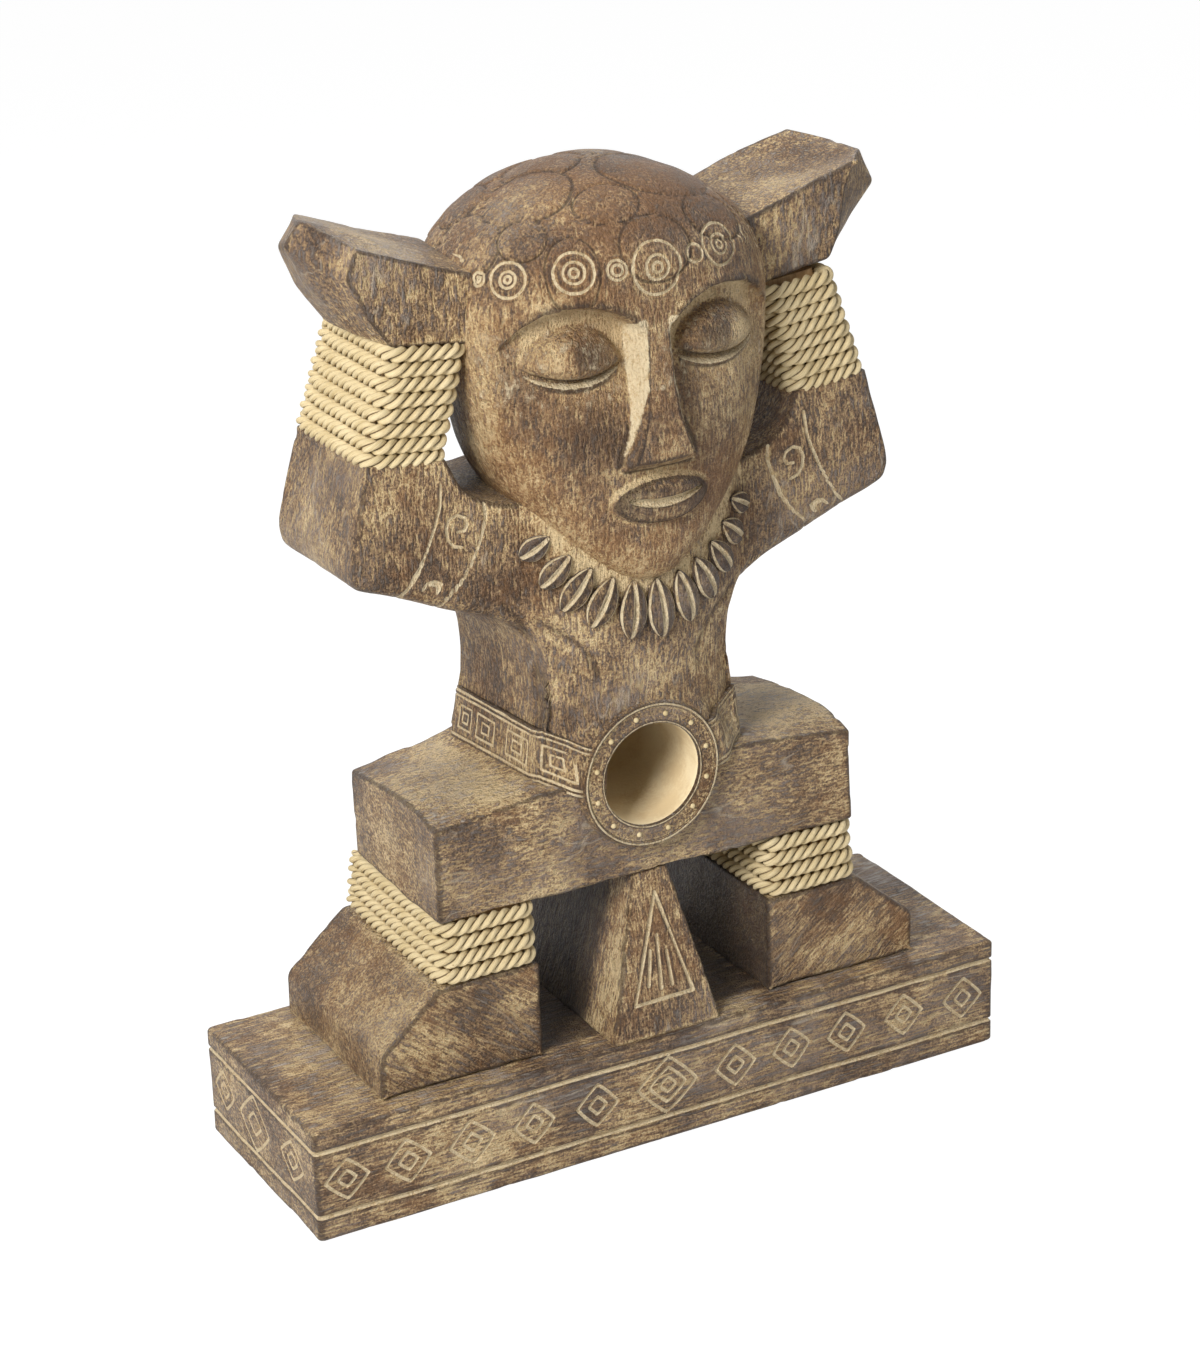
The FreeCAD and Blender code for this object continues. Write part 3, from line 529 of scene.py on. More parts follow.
def hewn(rings, cuts=0.0, rough=0.5, seed=1, caps=0):
    """Moves a surface in by its cuts, by slow and quick unevenness and by small chips along its edges."""
    outward = facing(rings, caps)
    bend = clamp(sharpness(rings, outward) * EDGE_GAIN)
    uneven = rough * (waver(rings, 34.0, seed) - 0.7) + rough * 0.45 * waver(rings, 9.0, seed + 1)
    chips = 1.3 * bend * clamp(waver(rings, 6.0, seed + 2) - 0.2)
    return rings + outward * (uneven - chips - cuts)[..., None]


foot_low, foot_high = node_box("foot_right")
foot_edge_z = foot_low[2] + 22.5  # height of the low outer edge
ankle_x = foot_low[0] + 56.0  # how far out the top stays level
foot_arris = 2.0


def foot_rings(side, seed):
    """The foot's five-cornered front outline carried straight back, with rounded edges."""
    outline = np.array([
        (foot_low[0], foot_low[2]), (foot_high[0], foot_low[2]), (foot_high[0], foot_edge_z),
        (ankle_x, foot_high[2]), (foot_low[0], foot_high[2]),
    ])
    y = np.linspace(foot_low[1] + foot_arris, foot_high[1] - foot_arris, 90)
    corners = np.empty((len(y), len(outline), 3))
    corners[..., 0], corners[..., 1], corners[..., 2] = outline[:, 0], y[:, None], outline[:, 1]
    rings = corner_rings(corners, (1.0, 1.0, 4.5, 2.5, 2.0), (36, 14, 34, 34, 30))
    rings = hewn(closed_ends(rings, foot_arris), 0.0, 0.6, seed, len(FILLS))
    rings[..., 2] = np.maximum(rings[..., 2], foot_low[2] - 0.3)
    return rings * (side, 1, 1)


foot_paint = dry_brushed("foot paint", (0.2, 0.9, 1.0), 0.03, 0.10, 1.3, math.radians(38.0))
for side, name, seed in ((-1, "foot_left", 11), (1, "foot_right", 17)):
    rings = foot_rings(side, seed)
    seam = bell(rings[..., 2] - foot_low[2], 1.6)
    under_rope = 0.6 * bell(foot_high[2] - rings[..., 2], 2.0)
    # painted shade: the feet's inner faces, turned to each other under the beam, are painted dark
    inner = ease((foot_low[0] + 4.0 - np.abs(rings[..., 0])) / 3.0) * ease((rings[..., 1] + 60.0) / 12.0)
    marks = carving(rim=inner, seam=(seam + under_rope) * (1 - inner))
    made_of(skin(name + "_carved", [(rings, marks)], caps=len(FILLS)), foot_paint, name)


# ---------------------------------------------------------------------------------------------------
# LEG BINDINGS. Three-strand rope of undyed fibre, wound four times round each leg's hidden post and
# pulled tight. Each turn runs level round three sides and steps up to the next one at the back.
# ---------------------------------------------------------------------------------------------------
ROPE_DIAMETER = 7.9
STRAND_PITCH = 18.0  # length of rope in which a strand goes once round
MIDDLE_OUT = 1.155  # how far a strand's middle lies from the rope's, in strand radii
STRAND_POINTS = 8  # points round each of the three strands
POINT_TURN = 360 / (3 * STRAND_POINTS)
LAP_POINTS = 180
RING_STEP = 0.8
POST_ROUNDING = 2.2  # rounding of the post's upright edges
TUCK_LENGTH, TUCK_DEPTH = 9.0, 4.5  # both ends are pushed in behind their neighbours


def post_outline(half_x, half_y, corner, count):
    """Points of a rounded rectangle and their shares of its length, from its back inner corner."""
    arcs = []
    for turn, (sx, sy) in enumerate(((-1, -1), (1, -1), (1, 1), (-1, 1))):
        centre = np.array([sx * (half_x - corner), sy * (half_y - corner)])
        angle = np.radians(180 + 90 * turn + np.linspace(0, 90, 9))
        arcs.append(centre + corner * np.stack([np.cos(angle), np.sin(angle)], -1))
    start = np.array([[-half_x, half_y - corner]])
    line = np.concatenate([start] + arcs)
    line = np.concatenate([line, start])
    length = np.concatenate([[0], np.cumsum(np.linalg.norm(np.diff(line, axis=0), axis=-1))])
    place = np.linspace(0, length[-1], count, endpoint=False)
    points = np.stack([np.interp(place, length, line[:, axis]) for axis in (0, 1)], -1)
    return points, place / length[-1]


def lashing(section, turns, side, seed):
    """Rope wound round a post: three round strands twisted on a middle line that follows the outline.

    Strands of radius s touch where their middles lie d = 1.155 s from the rope's, so the outline at an
    angle a from a strand's crown is d cos a + sqrt(s² - d² sin² a). The grid turns with the strands,
    and the left side's path is mirrored but not its twist.
    """
    radius = ROPE_DIAMETER / 2
    laps = []
    for turn in range(turns):
        half_x, half_y, _, _ = section((turn + 0.5) / turns)
        points, share = post_outline(half_x - radius, half_y - radius, radius + POST_ROUNDING, LAP_POINTS)
        level = (turn + 0.5 + ease((share - 0.74) / 0.24)) / turns
        if turn == turns - 1:
            level = np.full_like(level, (turn + 0.5) / turns)
        laps.append(np.concatenate([points, level[:, None]], 1))
    flat = np.concatenate(laps)
    level = flat[:, 2]
    half_x, half_y, middle, tilt = section(level)
    lean = np.stack([flat[:, 0] * math.cos(tilt), flat[:, 1], flat[:, 0] * math.sin(tilt)], -1)
    middle_line = middle + lean
    length = np.concatenate([[0], np.cumsum(np.linalg.norm(np.diff(middle_line, axis=0), axis=-1))])
    place = np.linspace(0, length[-1], int(length[-1] / RING_STEP))
    line = np.stack([np.interp(place, length, middle_line[:, axis]) for axis in range(3)], -1)
    for _ in range(2):
        line[1:-1] = (line[2:] + line[1:-1] * 2 + line[:-2]) / 4
    ahead = np.gradient(line, axis=0)
    ahead /= np.linalg.norm(ahead, axis=-1, keepdims=True)
    up = np.array([-math.sin(tilt), 0, math.cos(tilt)])
    out = np.cross(ahead, up)
    out /= np.linalg.norm(out, axis=-1, keepdims=True)
    up = np.cross(out, ahead)
    tuck = clamp(1 - np.minimum(place, length[-1] - place) / TUCK_LENGTH)
    line = line - out * (tuck**2 * TUCK_DEPTH)[:, None]
    twist = side * 2 * math.pi * place / STRAND_PITCH + 0.3 * waver(place[:, None], 30.0, seed)
    column = np.arange(3 * STRAND_POINTS)
    off_crown = np.radians((column % STRAND_POINTS - STRAND_POINTS / 2) * POINT_TURN)
    strand = radius / (1 + MIDDLE_OUT)
    half_chord = np.sqrt(np.clip(1 - (MIDDLE_OUT * np.sin(off_crown)) ** 2, 0, None))
    outline = strand * np.maximum(MIDDLE_OUT * np.cos(off_crown) + half_chord, 0.95)
    swell = 1 + 0.05 * waver(place[:, None], 9.0, seed + 1)
    around = column * math.radians(POINT_TURN) + twist[:, None]
    reach = outline[None, :] * swell[:, None]
    rings = line[:, None] + reach[..., None] * (
        out[:, None] * np.cos(around)[..., None] + up[:, None] * np.sin(around)[..., None]
    )
    crown = np.broadcast_to((outline / radius - 0.44) / 0.56, reach.shape)
    marks = {"crown": crown, "twist": column / STRAND_POINTS, "run": place[:, None] / 10}
    return rings * (side, 1, 1), marks


def rope_finish(name):
    """Pale twisted fibre: fine threads that follow the strands, painted shade in the gaps between them and a
    little brown stain.
    """
    material, recipe = new_recipe(name)
    place = recipe.node("ShaderNodeTexCoord", output="Object")
    crown, twist, run = recipe.mark("crown"), recipe.mark("twist"), recipe.mark("run")
    strand = recipe.node("ShaderNodeCombineXYZ", {}, {0: twist * 6.0, 1: run * 0.25, 2: 0.0})
    thread = recipe.speckle(strand, 4.0, 3.0, 0.6)
    mottle = recipe.speckle(place, 70.0, 4.0, 0.6)
    spot = recipe.speckle(place, 420.0, 2.0, 0.5)
    straw, pale, gap_shade, stain = tone(194, 174, 130), tone(221, 204, 165), tone(84, 63, 38), tone(120, 86, 52)
    colour = recipe.over(straw, pale, (thread * 0.8 + mottle * 0.5).rise(0.45, 0.8))
    # painted shade: darker where the strands' surface dips into the gaps between them
    colour = recipe.over(gap_shade, colour, (crown + (thread - 0.5) * 0.3).rise(0.0, 0.42))
    colour = recipe.over(colour, stain, (spot * 0.9 + mottle * 0.35).rise(0.83, 0.98) * 0.6)
    surface_out(recipe, colour, 0.78 + (mottle - 0.5) * 0.1, thread + spot * 0.3, 0.0004, 0.25)
    return material


leg_inner_x, leg_width, leg_half_deep, leg_taper = 66.0, 56.0, 58.2, 2.5
leg_foot_z, leg_tall = 113.0, 33.0


def leg_section(level):
    """Half width, half depth, middle and tilt of the leg's binding at a share of its height."""
    level = np.asarray(level, float)
    width = leg_width - leg_taper * level
    middle = np.stack([leg_inner_x + width / 2, 3.0 - level, leg_foot_z + leg_tall * level], -1)
    return width / 2 + 1.2, leg_half_deep - leg_taper * level, middle, 0.0


rope_paint = rope_finish("rope fibre")
for side, name, seed in ((-1, "leg_rope_left", 3), (1, "leg_rope_right", 8)):
    made_of(skin(name + "_wound", [lashing(leg_section, 4, side, seed)]), rope_paint, name, slot="rope")


# ---------------------------------------------------------------------------------------------------
# APRON. A wedge pegged to the plinth that narrows and leans back up to the hip beam, with a tall
# triangle and three strokes cut in its face.
# ---------------------------------------------------------------------------------------------------
def line_distance(points, line):
    """Distance in a plane from each point to a polyline: the nearest of its segments."""
    best = np.full(points.shape[:-1], 1e9)
    line = np.asarray(line, float)
    for start, end in zip(line[:-1], line[1:]):
        run = end - start
        share = clamp(((points - start) @ run) / (run @ run))
        best = np.minimum(best, np.linalg.norm(points - start - share[..., None] * run, axis=-1))
    return best


def drawn(points, lines, half_width, depth, wobble=0.0):
    """Depth of cuts along polylines in a plane: the deepest of their grooves, shifted by the wobble."""
    away = [line_distance(points, line) + wobble for line in lines]
    return np.maximum.reduce([groove(distance, half_width, depth) for distance in away])


apron_low, apron_high = node_box("apron_wedge")
apron_lines = (
    ((1.2, 134.0), (-17.0, 78.5), (16.8, 79.0), (1.2, 134.0)),
    ((-5.2, 105.0), (-8.2, 87.0)), ((-0.5, 112.0), (-1.0, 84.5)), ((4.2, 103.0), (5.4, 85.0)),
)
foot_half, top_half = 31.5, 10.5
foot_front, top_front = -65.5, -50.0
back_lean = 13.0
front_points = 86
z = spread(apron_low[2], apron_high[2], 110, [(106.0, 30.0)], 2.0)
share = ((z - apron_low[2]) / (apron_high[2] - apron_low[2]))[:, None]
half = foot_half + (top_half - foot_half) * share
front = foot_front + (top_front - foot_front) * share
back = apron_high[1] - back_lean * share
corners = np.stack([
    np.concatenate([-half, half, half, -half], 1), np.concatenate([front, front, back, back], 1),
    np.repeat(z[:, None], 4, 1),
], -1)
rings = corner_rings(corners, (2.2, 2.2, 2.2, 2.2), (front_points, 60, 30, 60))
facing_front = np.arange(rings.shape[1]) < front_points
cuts = drawn(rings[..., [0, 2]], apron_lines, 1.3, 1.2, 0.35 * waver(rings, 12.0, 4)) * facing_front
low_seam = bell(rings[..., 2] - apron_low[2], 1.5)
sides = ~facing_front & (rings[..., 1] < 40)
# painted light: the lower front of each side face is painted paler, where the lamp from the front left
# reaches it
painted_light_band = 0.5 * sides * ease((135.0 - rings[..., 2]) / 30.0) * ease((-30.0 - rings[..., 1]) / 14.0)
# painted shade: the rear of the side faces, under the beam and between the legs, is painted dark
painted_shade_far_back = ~facing_front * ease((rings[..., 1] + 42.0) / 20.0)
marks = carving(cuts, painted_shade_far_back, np.maximum(low_seam, painted_light_band) * (1 - painted_shade_far_back))
rings = hewn(rings, cuts, 0.5, 23)
apron_paint = dry_brushed("apron paint", (1.0, 1.0, 0.14), -0.04, 0.0, 2.1)
made_of(skin("apron_carved", [(rings, marks)]), apron_paint, "apron_wedge")


# ---------------------------------------------------------------------------------------------------
# HIP BEAM. The long cross block over both legs: square below, its top dropping and crowning towards
# the ends. The waist and the turned navel cup are let into it.
# ---------------------------------------------------------------------------------------------------
hip_low, hip_high = node_box("hip_beam")
hip_arris = 2.2
beam_top = 203.0
level_to = 58.0  # the top is level out to here
front_drop, back_drop = 7.0, 9.0


def drop_share(x):
    """How far the top has dropped: ((|x| - level_to) / the rest of the half length) to the power 1.15."""
    return clamp((np.abs(x) - level_to) / (hip_high[0] - level_to)) ** 1.15


x = spread(hip_low[0] + hip_arris, hip_high[0] - hip_arris, 190)
drop = drop_share(x)
foot = np.full(len(x), hip_low[2])
corners = np.stack([
    np.repeat(x[:, None], 4, 1),
    np.broadcast_to([hip_low[1], hip_low[1], hip_high[1], hip_high[1]], (len(x), 4)),
    np.stack([foot, beam_top - front_drop * drop, beam_top - back_drop * drop, foot], 1),
], -1)
rings = corner_rings(corners, (2.0, 2.6, 3.0, 2.0), (42, 70, 34, 50))
# the top is crowned from front to back where it has dropped, and swells a little round the waist
across = clamp((rings[..., 1] - hip_low[1]) / (hip_high[1] - hip_low[1]))
crown = np.interp(across, [0, 0.16, 0.31, 0.53, 0.76, 1], [0, 3.6, 5.0, 4.4, 2.2, 0])
on_top = clamp((rings[..., 2] - 180.0) / 10.0)
rings[..., 2] += crown * on_top * clamp(drop * 1.3)[:, None]
near_waist = clamp((81.0 - np.abs(rings[..., 0])) / 19.0) ** 2
rings[..., 2] += 2.5 * near_waist * on_top * clamp((rings[..., 1] + 50.0) / 12.0)
rings = hewn(closed_ends(rings, hip_arris), 0.0, 0.8, 31, len(FILLS))

# the navel's room: in its slices the outline runs back along the bore's floor and up its end instead
bore_x, bore_z, bore_radius, bore_end = -1.5, 201.5, 30.6, 26.0
bore_front = hip_low[1] + 3.0


def half_chord(x):
    """Half the bore's height at x: sqrt(r² - (x - bore_x)²)."""
    return np.sqrt(np.clip(bore_radius**2 - (x - bore_x) ** 2, 0, None))


x, y, height = (rings[..., axis].copy() for axis in range(3))
over_bore = np.abs(x - bore_x) < bore_radius - 0.4
floor_z = bore_z - half_chord(x)
on_front = over_bore & (y < bore_front) & (height > floor_z)
on_top = over_bore & (y >= bore_front) & (y < bore_end) & (height > 190.0)
rise = clamp((height - floor_z) / (200.0 - floor_z))
rings[..., 1] = np.where(on_front, y + rise * (bore_end - y), rings[..., 1])
rings[..., 2] = np.where(on_front, floor_z, rings[..., 2])
run = clamp((y - bore_front) / (bore_end - bore_front))
rings[..., 1] = np.where(on_top, bore_end, rings[..., 1])
rings[..., 2] = np.where(on_top, floor_z + run * (height - floor_z), rings[..., 2])

out, y, height = np.abs(rings[..., 0]), rings[..., 1], rings[..., 2]
under_seam = 0.5 * bell(height - hip_low[2], 1.2)
# painted light: the dropped ends of the beam's top are painted paler where the light from above falls
painted_top_light = 0.6 * ease((height - 196.0) / 5.0) * ease((out - 60.0) / 20.0)
from_arris = np.hypot(y - hip_low[1], height - (beam_top - front_drop * drop_share(out)))
from_corner = np.hypot(out - hip_high[0], y - hip_low[1])
dark_edges = 0.6 * np.maximum(bell(from_arris, 2.4) * ease((out - 44.0) / 10.0), bell(from_corner, 1.8))
marks = carving(rim=dark_edges, seam=under_seam + painted_top_light)
hip_paint = dry_brushed("hip paint", (0.3, 0.7, 1.0), -0.03, 0.0, 3.7)
made_of(skin("hip_carved", [(rings, marks)], caps=len(FILLS)), hip_paint, "hip_beam")


# ---------------------------------------------------------------------------------------------------
# TORSO AND UPPER ARMS. Carved so that their joints don't show: the chest bows forward, its sides draw
# in above the hips and sweep out under the arms, and each arm bends up at the elbow. Bands and curls
# are cut round the arms.
# ---------------------------------------------------------------------------------------------------
TORSO_FRONT = 42.8  # how far before the middle the torso's side ridges lie

# from the middle out to the right wrist: the underside's front x and z and back x and z, the upper
# side's x and z, and how far the underside's front and back edges are rounded
body_outline = np.array([
    (0.0, 196.0, 0.0, 203.0, 0.0, 352.0, 3.0, 3.0),
    (14.0, 196.0, 14.0, 203.0, 6.0, 352.0, 3.0, 3.0),
    (28.0, 196.2, 28.0, 203.0, 12.0, 352.0, 3.0, 3.0),
    (40.0, 198.6, 42.0, 203.0, 18.0, 352.0, 3.0, 3.0),
    (50.0, 201.4, 55.0, 203.0, 23.0, 352.0, 3.0, 3.0),
    (57.0, 204.4, 65.0, 204.0, 27.0, 352.0, 3.0, 3.0),
    (56.0, 210.0, 63.2, 210.0, 30.0, 352.0, 3.5, 3.5),
    (54.8, 217.0, 61.4, 217.0, 33.0, 352.0, 3.5, 3.5),
    (52.8, 231.0, 59.4, 231.0, 38.0, 352.0, 3.5, 3.5),
    (51.2, 244.0, 58.4, 244.0, 43.0, 351.6, 4.0, 4.0),
    (51.0, 255.0, 58.8, 255.0, 47.0, 351.2, 4.5, 4.5),
    (51.8, 266.0, 60.4, 266.0, 51.0, 350.8, 6.0, 6.0),
    (54.0, 274.5, 63.4, 273.5, 55.0, 350.4, 8.0, 8.0),
    (58.5, 281.6, 67.6, 279.6, 58.5, 350.2, 10.0, 10.0),
    (65.5, 287.0, 73.6, 284.8, 62.0, 350.4, 12.0, 12.0),
    (74.5, 291.2, 81.0, 289.4, 66.0, 351.0, 13.5, 13.5),
    (86.0, 295.6, 90.5, 294.8, 71.0, 352.4, 14.0, 14.0),
    (98.0, 300.2, 101.0, 299.8, 76.0, 354.0, 14.0, 14.0),
    (110.0, 305.2, 112.0, 305.0, 80.0, 356.0, 14.0, 14.0),
    (122.0, 310.3, 123.0, 310.2, 83.5, 358.2, 13.0, 13.0),
    (133.0, 315.0, 134.0, 315.0, 86.0, 360.2, 11.0, 11.0),
    (141.5, 318.8, 143.4, 319.2, 88.0, 362.2, 8.5, 9.0),
    (147.0, 322.6, 149.2, 323.0, 89.4, 364.4, 6.0, 7.0),
    (149.4, 328.0, 151.6, 328.6, 90.4, 366.4, 4.5, 5.5),
    (149.2, 335.6, 151.4, 336.4, 91.4, 368.6, 4.0, 5.0),
    (146.6, 347.0, 148.4, 348.0, 92.6, 371.4, 4.0, 4.5),
    (143.8, 358.0, 145.2, 358.6, 93.6, 373.4, 4.0, 4.0),
    (141.2, 368.4, 142.2, 368.8, 94.4, 375.0, 3.5, 3.5),
    (138.9, 378.0, 139.2, 378.2, 95.0, 376.2, 3.0, 3.0),
    (138.3, 380.6, 138.4, 380.6, 95.2, 376.8, 3.0, 3.0),
])
arm_lines = (
    ((100.2, 366.0), (101.3, 355.5), (104.6, 346.0), (109.0, 336.0), (114.6, 325.5), (121.5, 316.5),
     (126.0, 308.0)),
    ((78.6, 353.0), (78.2, 346.0), (81.2, 336.0), (85.6, 326.0), (91.6, 317.4), (100.4, 308.6),
     (105.0, 298.0)),
)
arm_curls = (
    ((91.6, 333.4), (95.5, 334.5), (98.4, 338.5), (99.0, 343.9), (97.2, 348.0), (93.1, 349.5), (88.9, 347.5),
     (87.8, 344.3), (89.6, 341.3), (93.2, 341.2)),
    ((112.6, 316.4), (110.2, 318.8), (106.4, 319.2), (103.4, 317.4), (103.8, 314.6), (107.2, 313.2),
     (111.0, 314.0), (112.6, 316.4)),
)
ribs = (  # a long crease down each flank and a short one inside it
    ((70.9, 298.9), (62.7, 288.9), (58.2, 279.2), (55.3, 269.7), (52.4, 258.6), (50.8, 249.5), (51.6, 238.0),
     (53.4, 228.0)),
    ((55.5, 288.9), (47.7, 283.6), (40.6, 278.5), (34.7, 272.8), (30.6, 265.3), (28.3, 258.5), (29.3, 254.5),
     (30.2, 251.0)),
)


def through(rows, places):
    """Catmull-Rom curve through rows of values at places counted in rows."""
    padded = np.concatenate([2 * rows[:1] - rows[1:2], rows, 2 * rows[-1:] - rows[-2:-1]])
    index = np.clip(np.floor(places).astype(int), 0, len(rows) - 2)
    t = (places - index)[:, None]
    a, b, c, d = (padded[index + step] for step in range(4))
    return 0.5 * (2 * b + (c - a) * t + (2 * a - 5 * b + 4 * c - d) * t**2 + (3 * b - a - 3 * c + d) * t**3)


def belly(x, z):
    """How far the torso's front stands out before its side ridges: a bow with a crease at each rib."""
    half = np.interp(z, [203, 217, 231, 255, 275, 290], [54, 52.6, 51.4, 50.6, 53, 60])
    height = np.interp(z, [200, 284, 352], [10.6, 16.4, 16.8])
    off = clamp(np.abs(x) / half)
    crease = bell(np.abs(x) - 37.0 + 0.05 * (z - 240), 2.2) * clamp((z - 218) / 12)
    crease = crease * clamp((272 - z) / 14)
    return -height * (1 - off**2.3) + 0.7 * crease


def body_rings():
    """Rings that run from the left wrist through the torso to the right wrist.

    Each joins the underside to the upper side over the front and over the back. The front lies 42.8
    deep on the torso and 40 on the arms, less 9 % at the wrist; the back 38.5 on the torso and 42.4
    on the arms.
    """
    stops = spread(0, len(body_outline) - 1, 178, [(6.0, 2.5), (18.5, 4.5)], 1.7)
    right = through(body_outline, stops)
    table = np.concatenate([right[:0:-1] * (-1, 1, -1, 1, -1, 1, 1, 1), right])
    points = np.stack([table[:, 0:2], table[:, 4:6], table[:, 4:6], table[:, 2:4]], 1)
    x, z = points[..., 0], points[..., 1]
    front = -np.interp(np.abs(x), [50, 75], [TORSO_FRONT, 40.0]) * (1 - 0.09 * clamp((z - 350) / 31))
    back = np.interp(np.abs(x), [58, 75, 100], [38.5, 40.0, 42.4])
    y = np.where(np.arange(4) < 2, front, back)
    corners = np.stack([x, y, z], -1)
    trims = np.stack([table[:, 6], np.full(len(table), 3.5), np.full(len(table), 3.5), table[:, 7]], 1)
    rings = corner_rings(corners, trims, (118, 6, 40, 56), 6)
    rings[..., 1] += belly(rings[..., 0], rings[..., 2]) * ease((-rings[..., 1] - 12) / 24)
    rings[..., 1] += 4.0 * clamp(1 - (rings[..., 0] / 62) ** 2) * clamp(rings[..., 1] / 38) ** 2
    return rings


def round_navel(x, z):
    """1 round the navel's ring and 0 from 48 mm off its middle, where the body swells out to meet it."""
    return ease((48.0 - np.hypot(x, z - bore_z)) / 8.0)


# the chest comes forward to the navel's ring before the lines are cut
boss_y = -55.2
rings = body_rings()
boss = round_navel(rings[..., 0] - bore_x, rings[..., 2]) * (rings[..., 1] < -34.0)
rings[..., 1] += (np.minimum(rings[..., 1], boss_y) - rings[..., 1]) * boss
plane = np.stack([np.abs(rings[..., 0]), rings[..., 2]], -1)
on_front = clamp((-rings[..., 1] - 8) / 6)
bands = drawn(plane, arm_lines, 1.15, 1.1, 0.25 * waver(rings, 14.0, 6))
cuts = np.maximum(bands, drawn(plane, arm_curls, 1.25, 1.0)) * on_front
rib_away = np.minimum(line_distance(plane, ribs[0]), line_distance(plane, ribs[1]))
rib_away = rib_away + 0.4 * waver(rings, 9.0, 7)
worn_off = ease((272.0 - rings[..., 2]) / 14.0) * ease((rings[..., 0] - 42.0) / 6.0)  # the right rib's foot
rib_cut = groove(rib_away, 3.4, 1.0) * (rings[..., 1] < -30) * (1 - worn_off)
flank = 0.25 * bell(rib_away - 4.4, 1.6) * on_front
round_neck = np.hypot(rings[..., 0] / 62.0, (rings[..., 2] - 350.0) / 60.0)
under_chin = bell(round_neck - 0.80, 0.10) * on_front * (rings[..., 2] < 345)
marks = carving(cuts, rib_cut * 0.62, np.maximum(flank, under_chin))
rings = hewn(rings, np.maximum(cuts, rib_cut), 0.6, 41)

# the same room in the torso: the outline runs up the bore's end and forward along its roof
x, y, height = (rings[..., axis].copy() for axis in range(3))
mouth_y = -38.0
over_bore = np.abs(x - bore_x) < bore_radius - 0.4
roof_z = bore_z + half_chord(x)
at_front = over_bore & (y < mouth_y) & (height < roof_z)
below = over_bore & (y >= mouth_y) & (y < bore_end) & (height < 230.0)
rise = clamp((height - 198.0) / (roof_z - 198.0))
rings[..., 1] = np.where(at_front, bore_end + rise * (y - bore_end), rings[..., 1])
rings[..., 2] = np.where(at_front, roof_z, rings[..., 2])
run = clamp((bore_end - y) / (bore_end - mouth_y))
rings[..., 1] = np.where(below, bore_end, rings[..., 1])
rings[..., 2] = np.where(below, height + run * (roof_z - height), rings[..., 2])
body_paint = dry_brushed("torso paint", (1.0, 1.0, 0.24), 0.055, 0.02, 4.9)
made_of(skin("torso_carved", [(rings, marks)]), body_paint, "torso", "upper_arm_left", "upper_arm_right")


# ---------------------------------------------------------------------------------------------------
# BELT. A band carved right round the waist, a little proud, with two lines along each border and
# nested squares between them. In front it dips to the navel's ring and rises to its face.
# ---------------------------------------------------------------------------------------------------
belt_half = 13.7
belt_cut = 0.8  # width and depth of its lines
belt_squares = (  # place along the belt from the middle, half width, half height
    (46.6, 6.8, 6.2), (74.5, 9.6, 6.2), (104.0, 8.2, 6.0), (123.5, 5.6, 5.6), (152.0, 7.0, 6.0),
    (175.0, 6.0, 6.0), (197.4, 8.2, 6.2),
)
ridge_place = 54.0  # where along the belt the torso's side ridge comes
side_length, back_half = 81.8, 61.6


def waist_point(along, height):
    """A point of the waist at a place along it and a height.

    It runs over the bowed front to the ridge, straight back along the side, then in to the middle of
    the bowed back.
    """
    off = np.clip(np.abs(along), 0, ridge_place)
    side = np.clip(np.abs(along) - ridge_place, 0, side_length)
    behind = np.clip(np.abs(along) - ridge_place - side_length, 0, None)
    ridge_x = np.interp(height, [196, 204, 217, 231, 244], [58.6, 57.6, 56.0, 54.6, 53.0])
    back_x = np.interp(height, [196, 204, 217, 231, 244], [65.5, 64.6, 61.6, 60.0, 59.4])
    x = ridge_x * off / ridge_place + (back_x - ridge_x) * side / 80.0
    x = x * (1 - behind / back_half)
    y = -TORSO_FRONT + belly(x * (side <= 0) + 60.0 * (side > 0), height) * (side <= 0) + side
    y = y + 4.0 * (1 - (x / 62.0) ** 2) * (behind > 0)
    return np.stack([x * np.sign(along), y, height + 0 * x], -1)


# one grid from beside the navel round to the middle of the back: its columns cross the belt's face
# from the lower to the upper border and come back down inside the waist
along = spread(25.0, 197.4, 370)[:, None]
face_points, inner_points = 62, 6
across = np.concatenate([np.linspace(-1, 1, face_points), np.linspace(1, -1, inner_points)]) * belt_half
sunk = np.concatenate([np.zeros(face_points), np.full(inner_points, 3.0)])
sunk[[0, face_points - 1]] = 0.8
middle = np.interp(along, [31, 40, 54, 62, 134], [208.0, 212.0, 218.6, 217.0, 215.5])
height = middle + across
rings = sum(waist_point(along + step, height) for step in (-2.0, 0.0, 2.0)) / 3
rings[-1] = waist_point(along[-1:], height[-1:])
# in front it stands out over the beam's top edge and climbs on to the boss round the navel
over_beam = ease((58.0 - along) / 20.0) * ease((middle + 6.0 - height) / 16.0)
rings[..., 1] -= 6.5 * over_beam
boss = round_navel(rings[..., 0], height) * (along < 60.0)
rings[..., 1] += (boss_y + 0.2 - rings[..., 1]) * boss
flat_out = np.cross(np.gradient(rings, axis=0), (0, 0, 1.0))
flat_out /= np.linalg.norm(flat_out, axis=-1, keepdims=True)
flat_out *= np.sign((flat_out * (rings - rings.mean((0, 1)))).sum())
wobble = 0.21 * waver(np.stack(np.broadcast_arrays(along, across), -1), 11.0, 3)
cuts = np.zeros(rings.shape[:2])
for line in (belt_half - 1.0, belt_half - 3.6):
    cuts = np.maximum(cuts, groove(np.abs(np.abs(across) - line) + wobble, 0.85, belt_cut))
